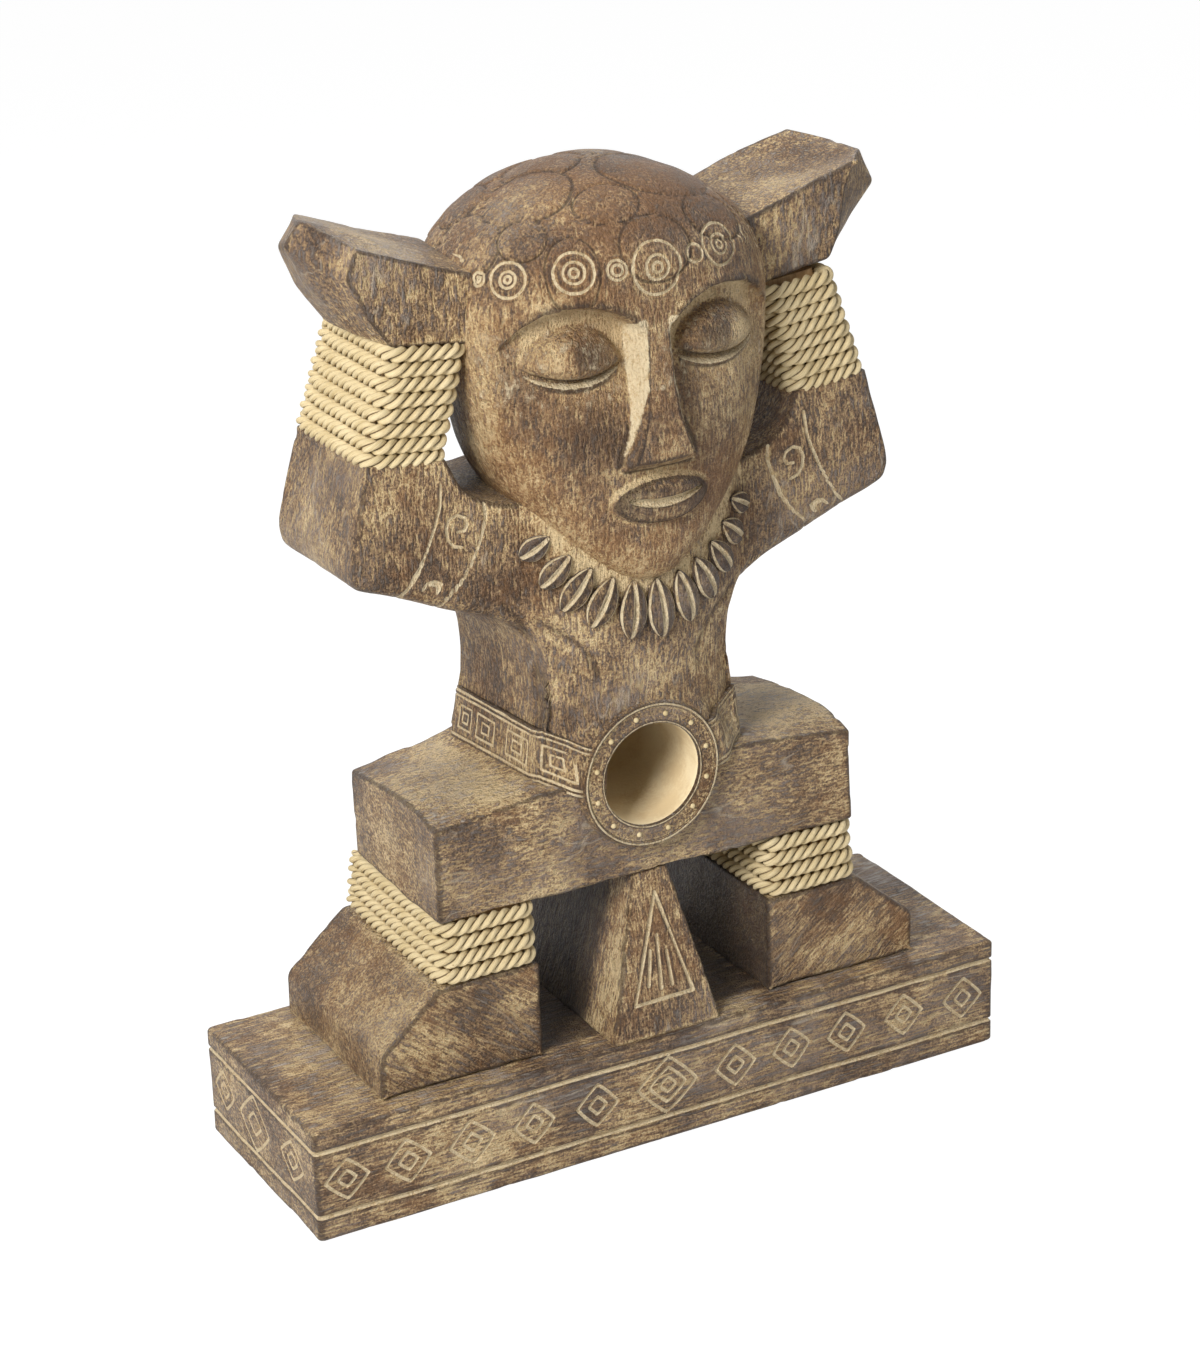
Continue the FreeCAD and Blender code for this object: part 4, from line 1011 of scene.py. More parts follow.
for place, half_x, half_z in belt_squares:
    for share in (1.0, 0.42):
        away = np.maximum(np.abs(along - place) - half_x * share, np.abs(across) - half_z * share)
        cuts = np.maximum(cuts, groove(away + wobble, belt_cut, belt_cut))
cuts = cuts * (sunk < 0.5)
marks = carving(cuts / belt_cut, seam=0.1)
rings = rings + flat_out * (1.3 - sunk - cuts + 0.25 * waver(rings, 8.0, 51))[..., None]
made_of(skin("belt_carved", [(rings, marks), (rings * (-1, 1, 1), marks)]), body_paint)


# ---------------------------------------------------------------------------------------------------
# NAVEL. A turned cup let into belly and beam, with a ring round its mouth: a raised rim outside and
# inside and twelve small studs in the flat between them.
# ---------------------------------------------------------------------------------------------------
def turned(profile, count):
    """A profile of (radius, y) points spun round the navel's own axis: r cos a, y, z + r sin a."""
    radius, depth = np.asarray(profile, float).T
    angle = np.linspace(0, 2 * math.pi, count, endpoint=False)
    return np.stack([
        bore_x + radius[:, None] * np.cos(angle), np.broadcast_to(depth[:, None], (len(radius), count)),
        bore_z + radius[:, None] * np.sin(angle),
    ], -1)


# from the mouth of the bore over the inner rim, the flat for the studs and the outer rim to the back
ring_profile = [
    (27.0, -50.0), (27.0, -54.0), (27.0, -56.6), (27.2, -57.4), (27.7, -57.8), (28.4, -57.6), (29.2, -57.2),
    (30.0, -57.1), (31.0, -57.1), (32.2, -57.1), (33.4, -57.0), (34.4, -56.9), (35.2, -56.8), (35.8, -56.9),
    (36.1, -57.3), (36.4, -57.8), (36.8, -58.1), (37.3, -58.1), (37.7, -57.7), (38.0, -57.0), (38.3, -56.4),
    (38.8, -55.0), (39.4, -52.6), (40.0, -50.0), (40.4, -47.0), (40.4, -44.0), (32.0, -44.0),
]
inner_rim, rim_foot, outer_rim = 27.9, 35.7, 37.0
rings = turned(ring_profile, 200)
radius = np.hypot(rings[..., 0] - bore_x, rings[..., 2] - bore_z)
cuts = np.maximum(groove(radius - outer_rim, 0.75, 1.0), 0.8 * groove(radius - inner_rim, 0.6, 1.0))
marks = carving(cuts, groove(radius - rim_foot, 0.6, 0.9), shade=0.15)
rings[..., 1] -= 0.22 * waver(rings, 7.0, 61)
ring_paint = dry_brushed("ring paint", (1.0, 1.0, 1.0), 0.08, 0.0, 6.1)
made_of(skin("navel_ring_carved", [(rings, marks)], "loop"), ring_paint, "navel_ring", slot="studs")

stud_count, stud_circle, stud_half, stud_tall = 12, 32.0, 1.4, 1.3
stud_grids = []
turn, lift = np.meshgrid(np.linspace(0, 2 * math.pi, 14, endpoint=False), np.linspace(0.12, 1, 7))
bulge = stud_half * np.sin(lift * math.pi / 2)
for index in range(stud_count):
    angle = 2 * math.pi * (index + 0.5) / stud_count
    stud = np.stack([
        bore_x + stud_circle * math.cos(angle) + bulge * np.cos(turn),
        -57.0 - stud_tall * np.cos(lift * math.pi / 2),
        bore_z + stud_circle * math.sin(angle) + bulge * np.sin(turn),
    ], -1)
    stud_grids.append((stud, {"crown": 1.0, "twist": 0.0, "run": 0.1 * index}))
stud_paint = rope_finish("stud cream")
made_of(skin("navel_studs_set", stud_grids), stud_paint, "navel_studs", slot="studs")

# from the middle of the cup's floor out along its bore, over the lip and back along its outside
cup_profile = [
    (2.0, 22.0), (8.0, 22.0), (14.0, 22.0), (19.0, 22.0), (23.0, 21.0), (25.6, 18.6), (26.6, 15.0),
    *((26.9 - 0.25 * (y < -40), y) for y in np.linspace(12.0, -53.0, 26)),
    (26.9, -55.6), (27.3, -56.3), (28.4, -55.4), (29.6, -53.0), (29.9, -40.0), (29.9, 0.0), (29.9, 24.5),
    (14.0, 25.0),
]
rings = turned(cup_profile, 150)
depth_in = (rings[..., 1] + 55.0) / 77.0
rings[..., 1] += 0.21 * waver(rings, 12.0, 64)
# painted shade: darker deeper in the bore and on its upper left wall, which the cup's mouth shades
painted_shade = ease(((rings[..., 2] - bore_z) - 1.3 * (rings[..., 0] - bore_x) + 14.0) / 34.0)
cup_marks = {"depth": ease(depth_in * 4.0) * painted_shade}


def cup_finish():
    """Smooth cream paint, stained brown in clouds, with painted shade deeper in and on the upper left of the
    bore.
    """
    material, recipe = new_recipe("cup cream")
    place = recipe.node("ShaderNodeTexCoord", output="Object")
    cloud = recipe.speckle(place, 38.0, 5.0, 0.6)
    grit = recipe.speckle(place, 600.0, 3.0, 0.6)
    cream, tan, stain = tone(236, 218, 180), tone(216, 190, 146), tone(84, 62, 38)
    colour = recipe.over(cream, tan, (cloud + (grit - 0.5) * 0.3).rise(0.42, 0.66) * 0.7)
    # the stain lies in clouds, and by the depth mark as painted shade
    colour = recipe.over(colour, stain, (cloud * 0.6 + recipe.mark("depth") * 0.75).rise(0.45, 0.98) * 0.95)
    surface_out(recipe, colour, 0.6 + (cloud - 0.5) * 0.2, grit * 0.4 + cloud * 0.6, 0.0004, 0.35)
    return material


made_of(skin("navel_cup_turned", [(rings, cup_marks)]), cup_finish(), "navel_cup", slot="cup")


# ---------------------------------------------------------------------------------------------------
# WRIST BINDINGS. The same rope, eight turns round each hidden wrist post, which leans in towards the
# head; the turns are tilted a little, outer side up.
# ---------------------------------------------------------------------------------------------------
wrist_foot, wrist_lean, wrist_tall = (117.4, 4.8, 376.6), 17.0, 56.0
wrist_tilt = math.radians(6.0)


def wrist_section(level):
    """Half width, half depth, middle and tilt of the wrist's binding at a share of its height."""
    level = np.asarray(level, float)
    middle = wrist_foot + level[..., None] * (-wrist_lean, 0.0, wrist_tall)
    return 23.4 - 1.1 * level, 42.4 - 1.9 * level, middle, wrist_tilt


for side, name, seed in ((-1, "wrist_rope_left", 13), (1, "wrist_rope_right", 18)):
    made_of(skin(name + "_wound", [lashing(wrist_section, 8, side, seed)]), rope_paint, name, slot="rope")


# ---------------------------------------------------------------------------------------------------
# HANDS. A horn-shaped block on each wrist, laid against the head: flat front, a lower facet that
# slants out to a blunt nose, and a top that climbs outwards. The two are cut by eye and differ.
# ---------------------------------------------------------------------------------------------------
hand_front, hand_back, hand_arris = -31.0, 36.0, 2.2
# y and the outline there: inner foot, outer foot, lower facet, nose, outer top and inner top as (x, z)
hand_outlines = {
    "hand_left": (
        (-31.0, (70, 428), (118.0, 432.5), (127.5, 446.5), (137.5, 467.5), (132.6, 482.8), (70, 460.6)),
        (-20.0, (70, 429), (122.5, 434.0), (137.0, 455.0), (148.5, 474.5), (141.5, 489.0), (70, 461.5)),
        (-8.0, (70, 430), (128.0, 436.0), (147.0, 462.0), (161.0, 483.6), (151.0, 495.0), (70, 462.5)),
        (12.0, (70, 430), (132.0, 438.0), (147.5, 459.0), (155.0, 479.0), (146.0, 491.0), (70, 464.0)),
        (36.0, (70, 430), (126.0, 440.0), (131.0, 455.0), (139.5, 474.0), (135.0, 486.8), (70, 464.4)),
    ),
    "hand_right": (
        (-31.0, (70, 430), (119.6, 439.5), (124.5, 453.0), (127.2, 473.0), (135.6, 487.4), (70, 465.2)),
        (-20.0, (70, 431), (126.0, 436.5), (134.5, 452.0), (144.0, 470.5), (143.5, 488.0), (70, 467.0)),
        (-8.0, (70, 431), (133.5, 434.5), (146.0, 451.0), (161.5, 467.8), (152.0, 486.6), (70, 468.8)),
        (12.0, (70, 431), (137.0, 436.5), (149.0, 454.0), (158.5, 471.0), (149.5, 487.6), (70, 470.6)),
        (36.0, (70, 431), (131.0, 440.0), (137.0, 458.0), (144.0, 478.0), (135.6, 490.8), (70, 471.8)),
    ),
}
hand_paint = dry_brushed("hand paint", (0.8, 0.8, 0.22), 0.0, 0.0, 7.7)
for name, side, seed in (("hand_left", -1, 71), ("hand_right", 1, 77)):
    known_y = [outline[0] for outline in hand_outlines[name]]
    known_corners = np.array([outline[1:] for outline in hand_outlines[name]], float)
    y = spread(hand_front + hand_arris, hand_back - hand_arris, 66)
    corners = np.empty((len(y), 6, 3))
    corners[..., 1] = y[:, None]
    for corner in range(6):
        corners[:, corner, 0] = np.interp(y, known_y, known_corners[:, corner, 0])
        corners[:, corner, 2] = np.interp(y, known_y, known_corners[:, corner, 1])
    rings = corner_rings(corners, (2.0, 3.0, 3.0, 3.0, 2.4, 2.0), (50, 18, 24, 18, 56, 30))
    for _ in range(2):
        rings[1:-1] = (rings[2:] + rings[1:-1] * 2 + rings[:-2]) / 4
    rings = closed_ends(rings, hand_arris) * (side, 1, 1)
    rope_side = 0.6 * bell(rings[..., 2] - 433.0 - 0.1 * (np.abs(rings[..., 0]) - 100), 1.6)
    rows_from_front = np.arange(len(rings))[:, None] - len(FILLS)
    ridge = 0.85 * bell(rows_from_front - 2.5, 2.0) * (0.75 + 0.5 * waver(rings, 14.0, seed + 5))
    marks = carving(rim=ridge, seam=rope_side)
    rings = hewn(rings, 0.0, 0.7, seed, len(FILLS))
    made_of(skin(name + "_carved", [(rings, marks)], caps=len(FILLS)), hand_paint, name)


# ---------------------------------------------------------------------------------------------------
# HEAD. One egg-shaped block carved as a mask: a row of ringed circles over the brow, closed eyes in
# wide sockets, a long flat nose and parted lips. Round curls are outlined over the whole crown.
# ---------------------------------------------------------------------------------------------------
HEAD_FOOT, HEAD_TALL, HEAD_HALF = 303.5, 199.5, 81.5
FACE_Y, NAPE_Y = -71.0, 50.0


def bent(stations):
    """A smooth curve through (share, value) stations that never overshoots between them."""
    at, value = np.array(stations).T
    rises = np.diff(value) / np.diff(at)
    both = rises[:-1] * rises[1:]
    inner = np.where(both > 0, 2 * both / np.where(both > 0, rises[:-1] + rises[1:], 1), 0)
    slope = np.concatenate([rises[:1], inner, rises[-1:]])

    def value_at(share):
        index = np.clip(np.searchsorted(at, share, "right") - 1, 0, len(rises) - 1)
        step = at[index + 1] - at[index]
        t = (share - at[index]) / step
        start = (1 + 2 * t) * (1 - t) ** 2 * value[index] + t * (1 - t) ** 2 * step * slope[index]
        return start + t * t * (3 - 2 * t) * value[index + 1] - t * t * (1 - t) * step * slope[index + 1]

    return value_at


head_width = bent((
    (0.0, 0.10), (0.03, 0.23), (0.10, 0.45), (0.21, 0.72), (0.30, 0.855), (0.40, 0.93), (0.58, 1.0),
    (0.69, 0.997), (0.785, 0.952), (0.855, 0.85), (0.915, 0.68), (0.957, 0.48), (0.985, 0.26), (1.0, 0.05),
))
head_front = bent((
    (0.0, 0.80), (0.03, 0.92), (0.10, 0.985), (0.21, 0.962), (0.40, 0.975), (0.69, 1.0), (0.785, 0.99),
    (0.855, 0.91), (0.915, 0.775), (0.957, 0.61), (0.985, 0.40), (1.0, 0.16),
))
head_back = bent((
    (0.0, -0.85), (0.03, -0.54), (0.10, 0.09), (0.21, 0.66), (0.30, 0.84), (0.45, 0.935), (0.69, 0.966),
    (0.855, 1.0), (0.915, 0.90), (0.957, 0.64), (0.985, 0.34), (1.0, 0.04),
))
head_widest = bent(((0.0, 0.70), (0.10, 0.56), (0.30, 0.37), (0.69, 0.305), (0.85, 0.19), (1.0, 0.07)))
back_squareness = bent((
    (0.0, 2.7), (0.20, 3.0), (0.40, 2.7), (0.58, 2.0), (0.68, 1.85), (0.75, 3.0), (0.80, 3.9), (0.86, 3.0),
    (1.0, 2.6),
))


def head_form(rise, angle):
    """The plain head: level squared-off ellipses, x = w |cos a|^(2/n), y likewise about the widest line."""
    sine, cosine = np.sin(angle), np.cos(angle)
    widest = FACE_Y * head_widest(rise)
    reach = np.where(sine < 0, widest - FACE_Y * head_front(rise), NAPE_Y * head_back(rise) - widest)
    power = 2 / np.where(sine < 0, 2.25, back_squareness(rise))
    x = HEAD_HALF * head_width(rise) * np.sign(cosine) * np.abs(cosine) ** power
    y = widest + reach * np.sign(sine) * np.abs(sine) ** power
    return np.stack([x, y, HEAD_FOOT + HEAD_TALL * rise + 0 * angle], -1)


def eye_carving(off, z):
    """The eye on both sides of the middle: relief, cut, bare and dark shares. The cut share is cream on the
    lower rim, a painted highlight; the bare share holds a painted highlight on the lid's outer end; the dark
    share holds painted shade along the slit besides dark paint.

    The socket sinks under the brow line. The lid is a dome between a slit that bows down as
    (1 - u²)^0.9 and a fold that bows up as (1 - u²)^0.62, where u runs from -1 to 1 across the eye;
    a thin lower rim lies under the slit.
    """
    brow_x = [0, 6, 12, 20, 30, 42, 54, 64, 72, 82]
    brow = np.interp(off, brow_x, [431, 432, 438, 443.5, 447, 448, 446, 440, 431, 418])
    deep = np.interp(z, [372, 388, 400, 412, 424, 436, 450], [0.0, 1.5, 4.5, 9.0, 12.4, 13.4, 12.5])
    fall = np.interp(off, [0, 20, 30, 44, 58, 66, 72, 78], [1.0, 1.0, 0.9, 0.72, 0.58, 0.42, 0.2, 0.0])
    socket = deep * fall * ease((brow - z) / 4.5 + 0.2)
    brow_lip = -1.2 * bell(z - brow - 1.8, 2.8) * ease((76 - off) / 14) * ease((off - 4) / 8)

    u = np.clip((off - 38.8) / 23.6, -1, 1)
    bow = 1 - u * u
    slit = 418.8 - 6.4 * bow**0.9
    fold = 419.4 + 17.6 * bow**0.62
    up_lid = clamp((z - slit) / np.maximum(fold - slit, 0.5))
    on_lid = 4 * up_lid * (1 - up_lid)
    lid = 10.4 * bow**0.5 * on_lid**0.5 * (0.86 + 0.28 * (1 - up_lid))
    lower_rim = 2.6 * bow**0.6 * bell(z - slit + 3.9, 1.8)
    slit_cut = groove(z - slit + 0.8, 1.6, 2.4) * bow**0.4

    # painted highlight: cream along the lower rim under the slit, which faces the light
    cut = 0.9 * bell(z - slit + 2.7, 1.0) * bow**0.3 * (np.abs(u) < 1)
    under_brow = 1.2 * ease((z - fold) / 3) * ease((brow - z) / 3)
    under_brow = under_brow * ease((70 - off) / 16) * ease((off - 8) / 6)
    # painted highlight: the lid's outer end, where the lamp from the left falls, is painted pale
    lid_highlight = 1.3 * ease((off - 40) / 12) * on_lid**0.5 * bow
    # painted shade: dark lines in the slit under the lid and under the lower rim
    slit_shade = bell(z - slit - 0.1, 1.0) + 0.7 * bell(z - slit + 5.6, 0.9)
    dark = 0.85 * slit_shade * bow**0.4 * (np.abs(u) < 1)
    dark = dark + 0.55 * bell(z - brow - 3.0, 3.0) * ease((72 - off) / 10) * ease((off - 5) / 6)
    dark = dark + 0.6 * on_lid * bow * ease((50 - off) / 12)
    return socket + brow_lip - lid - lower_rim, slit_cut, cut, np.maximum(under_brow, lid_highlight), dark


def nose_carving(off, z):
    """The nose: how proud its flat, slightly bowed ridge stands, its share of the face, cut and dark.

    The share is 1 on the ridge and falls in a straight line over its walls, so both meet the face.
    """
    half = np.interp(z, [366, 372, 378, 390, 409, 430, 437], [17.0, 16.2, 13.4, 9.4, 7.0, 6.0, 5.4])
    wall = np.interp(z, [366, 378, 400, 430], [3.4, 4.0, 5.2, 6.0])
    proud = np.interp(z, [364.5, 370.5, 378, 390, 409, 428, 436], [0.0, 9.2, 9.2, 7.0, 4.0, 1.6, 0.4])
    proud = proud - 0.6 * (off / half) ** 2 * (off < half)
    down_wall = clamp((off - half) / wall)
    share = (1 - down_wall) * ease((z - 363.5) / 2.4) * ease((437 - z) / 5.0)

    painted_from = np.interp(z, [368, 378, 390, 405], [0.7, 0.5, 0.25, -0.1])
    painted = ease((down_wall - painted_from) * 4) * ease((1.1 - down_wall) * 4) * ease((z - 371) / 4)
    cut = np.interp(z, [372, 386, 404], [0.5, 0.44, 0.75]) * painted * ease((441 - z) / 5)
    ridge_edge = bell(off - half + 0.6, 0.7) * ease((z - 368) / 5) * ease((438 - z) / 6)
    wall_foot = bell(off - half - wall - 0.6, 0.9) * ease((z - 366) / 4) * ease((392 - z) / 10)
    base_line = bell(z - 365.0, 1.1) * ease((20 - off) / 3)
    return proud, share, cut, 0.9 * np.maximum(np.maximum(wall_foot, base_line), ridge_edge)


def mouth_carving(x, z):
    """The mouth: an elliptic mound, parted along a line that bows up to its ends, and its marks."""
    from_middle = x - 1.5
    lips = (from_middle / 25.5) ** 2 + ((z - 348.8) / 11.4) ** 2
    mound = 6.4 * clamp(1 - lips / 1.12) ** 0.38
    parting = 348.6 + 0.0075 * from_middle**2
    within = clamp(1 - ((x - 2.5) / 20.0) ** 2)
    open_half = 2.2 * within**0.6 + 0.05
    opening = 3.2 * clamp(1 - ((z - parting) / open_half) ** 2) * (within > 0)
    upper_lip = 1.1 * bell(z - parting - 6.5, 2.4) * within
    round_lips = 0.9 * bell(lips - 0.92, 0.08)
    philtrum = 0.8 * bell(from_middle, 4.0) * bell(z - 363, 3.5)
    # cream on the upper lip's bow: partly cream paint, partly a painted highlight where the bow faces the
    # light
    bare_and_highlight = 1.3 * bell(lips - 1.16, 0.13) * ease((z - 349) / 5)
    dark = 0.85 * bell(lips - 0.93, 0.07) + 0.5 * (lips < 0.95)
    return opening + round_lips + philtrum - mound - upper_lip, opening / 2.6, bare_and_highlight, dark


def face_relief(x, z):
    """How far the face stands behind (above zero) the plain form, and where it is cut, bare (painted
    highlights among it) and dark (painted shade among it).

    The eyes' relief gives way to the nose by the nose's share; the mouth and a soft ridge down the
    outer edge of each cheek are added to both.
    """
    off = np.abs(x)
    eye, slit_cut, eye_cut, eye_bare_and_highlight, eye_dark = eye_carving(off, z)
    nose, nose_share, nose_cut, nose_dark = nose_carving(off, z)
    mouth, mouth_cut, mouth_bare_and_highlight, mouth_dark = mouth_carving(x, z)
    cheek_x = np.interp(z, [354, 370, 390, 405, 430, 453], [53.6, 63.8, 69.8, 72.0, 72.8, 71.0])
    cheek = bell(off - cheek_x, 2.2) * ease((z - 348) / 16) * ease((458 - z) / 12)
    relief = eye * (1 - nose_share) - nose * nose_share + mouth - cheek + slit_cut
    cut = np.maximum(np.maximum(eye_cut, mouth_cut), nose_cut)
    bare_and_highlight = np.maximum(np.maximum(eye_bare_and_highlight, mouth_bare_and_highlight), 0.25 * ease((334 - z) / 8))
    beside_nose = 0.5 * bell(z - 382, 36) * ease((70 - off) / 30) * ease((off - 8) / 14)
    return relief, cut, bare_and_highlight, eye_dark + nose_dark + mouth_dark + beside_nose


brow_circles = (  # middle of each and the radii of its rings
    ((-74.6, -34.5, 460.7), (3.3, 1.3)), ((-66.1, -47.4, 462.1), (8.6, 3.9, 1.6)),
    ((-39.5, -63.4, 464.7), (9.8, 5.2, 2.1)), ((-19.2, -68.4, 464.0), (4.8, 2.6)),
    ((1.1, -69.9, 462.5), (12.7, 5.8, 2.5)), ((22.9, -67.2, 465.6), (4.5,)),
    ((39.2, -62.5, 466.7), (10.4, 5.0, 2.0)), ((70.5, -41.0, 461.5), (6.0, 2.4)),
    ((79.0, -18.0, 460.0), (9.0, 4.0)), ((-79.5, -14.0, 460.0), (9.0, 4.0)),
    ((-76.0, 14.0, 460.5), (5.0, 2.0)), ((76.0, 14.0, 460.5), (5.0, 2.0)),
)
curls = (  # middle, half sizes along x, y and z, and how dark it is; the first ones lie on top
    ((26.0, -26.0, 497.0), (31.0, 24.0, 22.0), 0.7), ((-13.0, -47.0, 490.5), (16.5, 12.5, 13.0), 0.2),
    ((-55.0, -41.5, 477.5), (12.0, 12.0, 11.0), -0.3), ((-38.5, -60.0, 462.5), (13.4, 14.0, 18.4), 0.0),
    ((-42.0, -20.0, 492.0), (26.0, 22.0, 15.0), 0.0), ((40.0, -50.0, 476.0), (19.0, 13.0, 15.0), 0.2),
    ((3.0, -64.0, 470.0), (19.0, 14.0, 17.0), 0.1), ((-24.0, 2.0, 503.0), (22.0, 20.0, 14.0), 0.2),
    ((-70.0, -14.0, 470.0), (16.0, 24.0, 20.0), -0.1), ((66.0, -26.0, 474.0), (14.0, 14.0, 14.0), 0.3),
    ((57.0, -4.0, 484.0), (18.0, 17.0, 15.0), -0.1), ((12.0, 14.0, 501.0), (20.0, 18.0, 12.0), 0.1),
    ((-58.0, 18.0, 484.0), (16.0, 15.0, 14.0), 0.3), ((-30.0, 26.0, 494.0), (18.0, 15.0, 14.0), -0.1),
    ((44.0, 20.0, 491.0), (16.0, 15.0, 14.0), 0.3), ((70.0, 12.0, 470.0), (14.0, 16.0, 12.0), 0.0),
    ((2.0, 42.0, 487.0), (16.0, 12.0, 13.0), -0.1), ((33.0, 42.0, 480.0), (15.0, 12.0, 12.0), 0.2),
    ((-32.0, 45.0, 478.0), (15.0, 12.0, 12.0), 0.2), ((-60.0, 38.0, 474.0), (14.0, 12.0, 12.0), -0.1),
    ((60.0, 38.0, 474.0), (14.0, 12.0, 12.0), 0.1),
)


def crown_relief(points):
    """Overlapping curls: each a low dome outlined where its scaled distance is 1; upper ones hide lower."""
    hidden = np.zeros(points.shape[:2], bool)
    cut, dome, shade = (np.zeros(points.shape[:2]) for _ in range(3))
    for middle, half, dark in curls:
        scaled = np.linalg.norm((points - middle) / half, axis=-1) + 0.03 * waver(points, 13.0, 9)
        cut = np.maximum(cut, np.where(hidden, 0, groove((scaled - 1) * min(half), 1.2, 0.8)))
        inside = (scaled < 1) & ~hidden
        dome = np.where(inside, 0.7 * clamp(1 - scaled**2) ** 0.7, dome)
        shade = np.where(inside, dark, shade)
        hidden |= scaled < 1
    return cut, dome, shade


# columns lie closest over the face; rows are even along the surface and closer from chin to circles
angle = spread(-math.pi, math.pi, 353, [(-math.pi / 2, 1.36)], 4.2)[:-1]
fine = np.linspace(0, 1, 3000)
path = head_form(fine[:, None], np.radians([-90.0, 0.0, 90.0])[None, :])
stride = np.linalg.norm(np.diff(path, axis=0), axis=-1).mean(1)
travel = np.concatenate([[0], np.cumsum(stride)])
chin_z, brow_z, band_z = np.interp((np.array([337.0, 450.0, 478.0]) - HEAD_FOOT) / HEAD_TALL, fine, travel)
hot = [((chin_z + brow_z) / 2, (brow_z - chin_z) / 2), ((brow_z + band_z) / 2, (band_z - brow_z) / 2)]
rise = np.interp(spread(travel[3], travel[-4], 280, hot, 2.4), travel, fine)
plain = head_form(rise[:, None], angle[None, :])
x, y, z = (plain[..., axis] for axis in range(3))
front = ease((-y - 14) / 22)  # 1 over the face, 0 behind the temples
relief, cut, bare_and_highlight, dark = face_relief(x, z)
rings = plain.copy()
rings[..., 1] += relief * front
circle_cut, round_circle = np.zeros(plain.shape[:2]), np.zeros(plain.shape[:2])
wobble = 0.22 * waver(plain, 6.0, 12)
for middle, radii in brow_circles:
    away = np.linalg.norm(plain - middle, axis=-1)
    for radius in radii:
        circle_cut = np.maximum(circle_cut, groove(away + wobble - radius, 1.0, 1.0))
    round_circle = np.maximum(round_circle, 0.55 * bell(np.abs(away - radii[0]) - 1.9, 0.8))
# three short wavy strokes between the circles on the right
for index, line_x in enumerate((55.5, 58.5, 61.5)):
    beyond = np.clip(np.abs(z - 467 + index) - 3.5, 0, None)
    away = np.hypot(x - line_x - 0.8 * np.sin(z * 1.1), beyond)
    circle_cut = np.maximum(circle_cut, groove(away, 0.8, 0.8) * (y < 0))
curl_cut, curl_dome, curl_shade = crown_relief(plain)
rings = hewn(rings, circle_cut + curl_cut - curl_dome, 0.45, 81)
# painted light: the head's side planes are painted paler, as the lamp from the left lights them
painted_side_light = ease((np.abs(x) - 70) / 4) * ease((-y - 2) / 20) * ease((452 - z) / 8) * 0.45
# painted highlight: a pale patch on the left of the brow where the lamp's sheen falls
painted_highlight = 0.6 * bell(x + 52, 8) * bell(z - 450, 9) * (y < 0)
marks = carving(
    cut=np.maximum(cut * front, circle_cut),
    rim=np.maximum(np.maximum(curl_cut * 1.05, dark * front), round_circle),
    seam=np.maximum(np.maximum(bare_and_highlight * front, painted_side_light), painted_highlight),
    shade=curl_shade * 0.8 + 0.5 * ease((z - 470) / 10),
)
head_paint = dry_brushed("head paint", (1.0, 0.8, 0.24), 0.0, 0.17, 8.4)
made_of(skin("head_carved", [(rings, marks)]), head_paint, "head")


# ---------------------------------------------------------------------------------------------------
# NECKLACE. Eleven shell shapes in relief that hang round the chin, each a leaf with a cut down its
# middle, cream along its rim and in its cut. They shrink towards the shoulders.
# ---------------------------------------------------------------------------------------------------
shell_places = (  # x and z of the middle, length and how far its foot swings out, in degrees
    (-56.0, 328.0, 20.0, -58.0), (-47.5, 315.5, 23.0, -46.0), (-38.2, 305.5, 27.0, -37.0),
    (-26.4, 297.6, 28.0, -26.0), (-11.0, 291.4, 31.0, -4.0), (3.8, 289.6, 32.0, 6.0),
    (18.6, 292.4, 30.0, 16.0), (31.4, 298.4, 28.0, 30.0), (42.6, 306.4, 25.5, 41.0),
    (51.6, 316.6, 23.0, 54.0), (58.0, 329.0, 20.0, 64.0),
)


def shell_form(index, middle_x, middle_z, long, foot_swing):
    """A shell's rings and marks: ellipses along its length, leaf-wide as sin(π t^1.12)^0.62.

    Its front half is notched down the middle and hollowed beside the notch; it leans with the chest.
    """
    swing = math.radians(foot_swing)
    middle = np.array([middle_x, belly(middle_x, 300.0) - TORSO_FRONT, middle_z])
    lean = 0.010 * middle_x
    out = np.array([lean, -1.0, 0.0]) / math.hypot(lean, 1.0)
    run = np.array([math.sin(swing), 0.0, -math.cos(swing)])
    run = run - out * (run @ out)
    t = np.linspace(0.015, 0.985, 44)[:, None]
    around = np.linspace(0, 2 * math.pi, 44, endpoint=False)
    at_front = np.sin(around) > 0
    half_wide = (4.6 + 0.092 * long) * np.sin(math.pi * t**1.12) ** 0.62 * (1 + 0.04 * math.sin(3 * index))
    aside = half_wide * np.cos(around)
    forward = 5.0 * np.sin(math.pi * t) ** 0.45 * np.sin(around)
    notch = groove(aside, 1.7, 2.6) * at_front * np.sin(math.pi * t) ** 0.5
    hollow = 0.8 * groove(np.abs(aside) - half_wide * 0.55, 3.0, 1.0) * at_front
    place = middle + run * ((t - 0.5) * long)[..., None]
    rings = place + np.cross(run, out) * aside[..., None] + out * (forward - notch - hollow + 0.6)[..., None]
    rim_line = 0.8 * bell(np.sin(around) - 0.36, 0.16)
    dark_sides = clamp(hollow + 0.3) * (np.sin(around) > 0.5) * (notch < 0.3)
    marks = carving(np.maximum(notch / 1.5, rim_line), dark_sides * 0.55, shade=0.2)
    return rings + out * (0.3 * waver(rings, 6.0, 91 + index))[..., None], marks


shell_grids = [shell_form(index, *place) for index, place in enumerate(shell_places)]
shell_paint = dry_brushed("shell paint", (1.0, 1.0, 0.3), 0.08, -0.1, 9.2)
made_of(skin("necklace_carved", shell_grids), shell_paint, "necklace_shells", slot="shells")


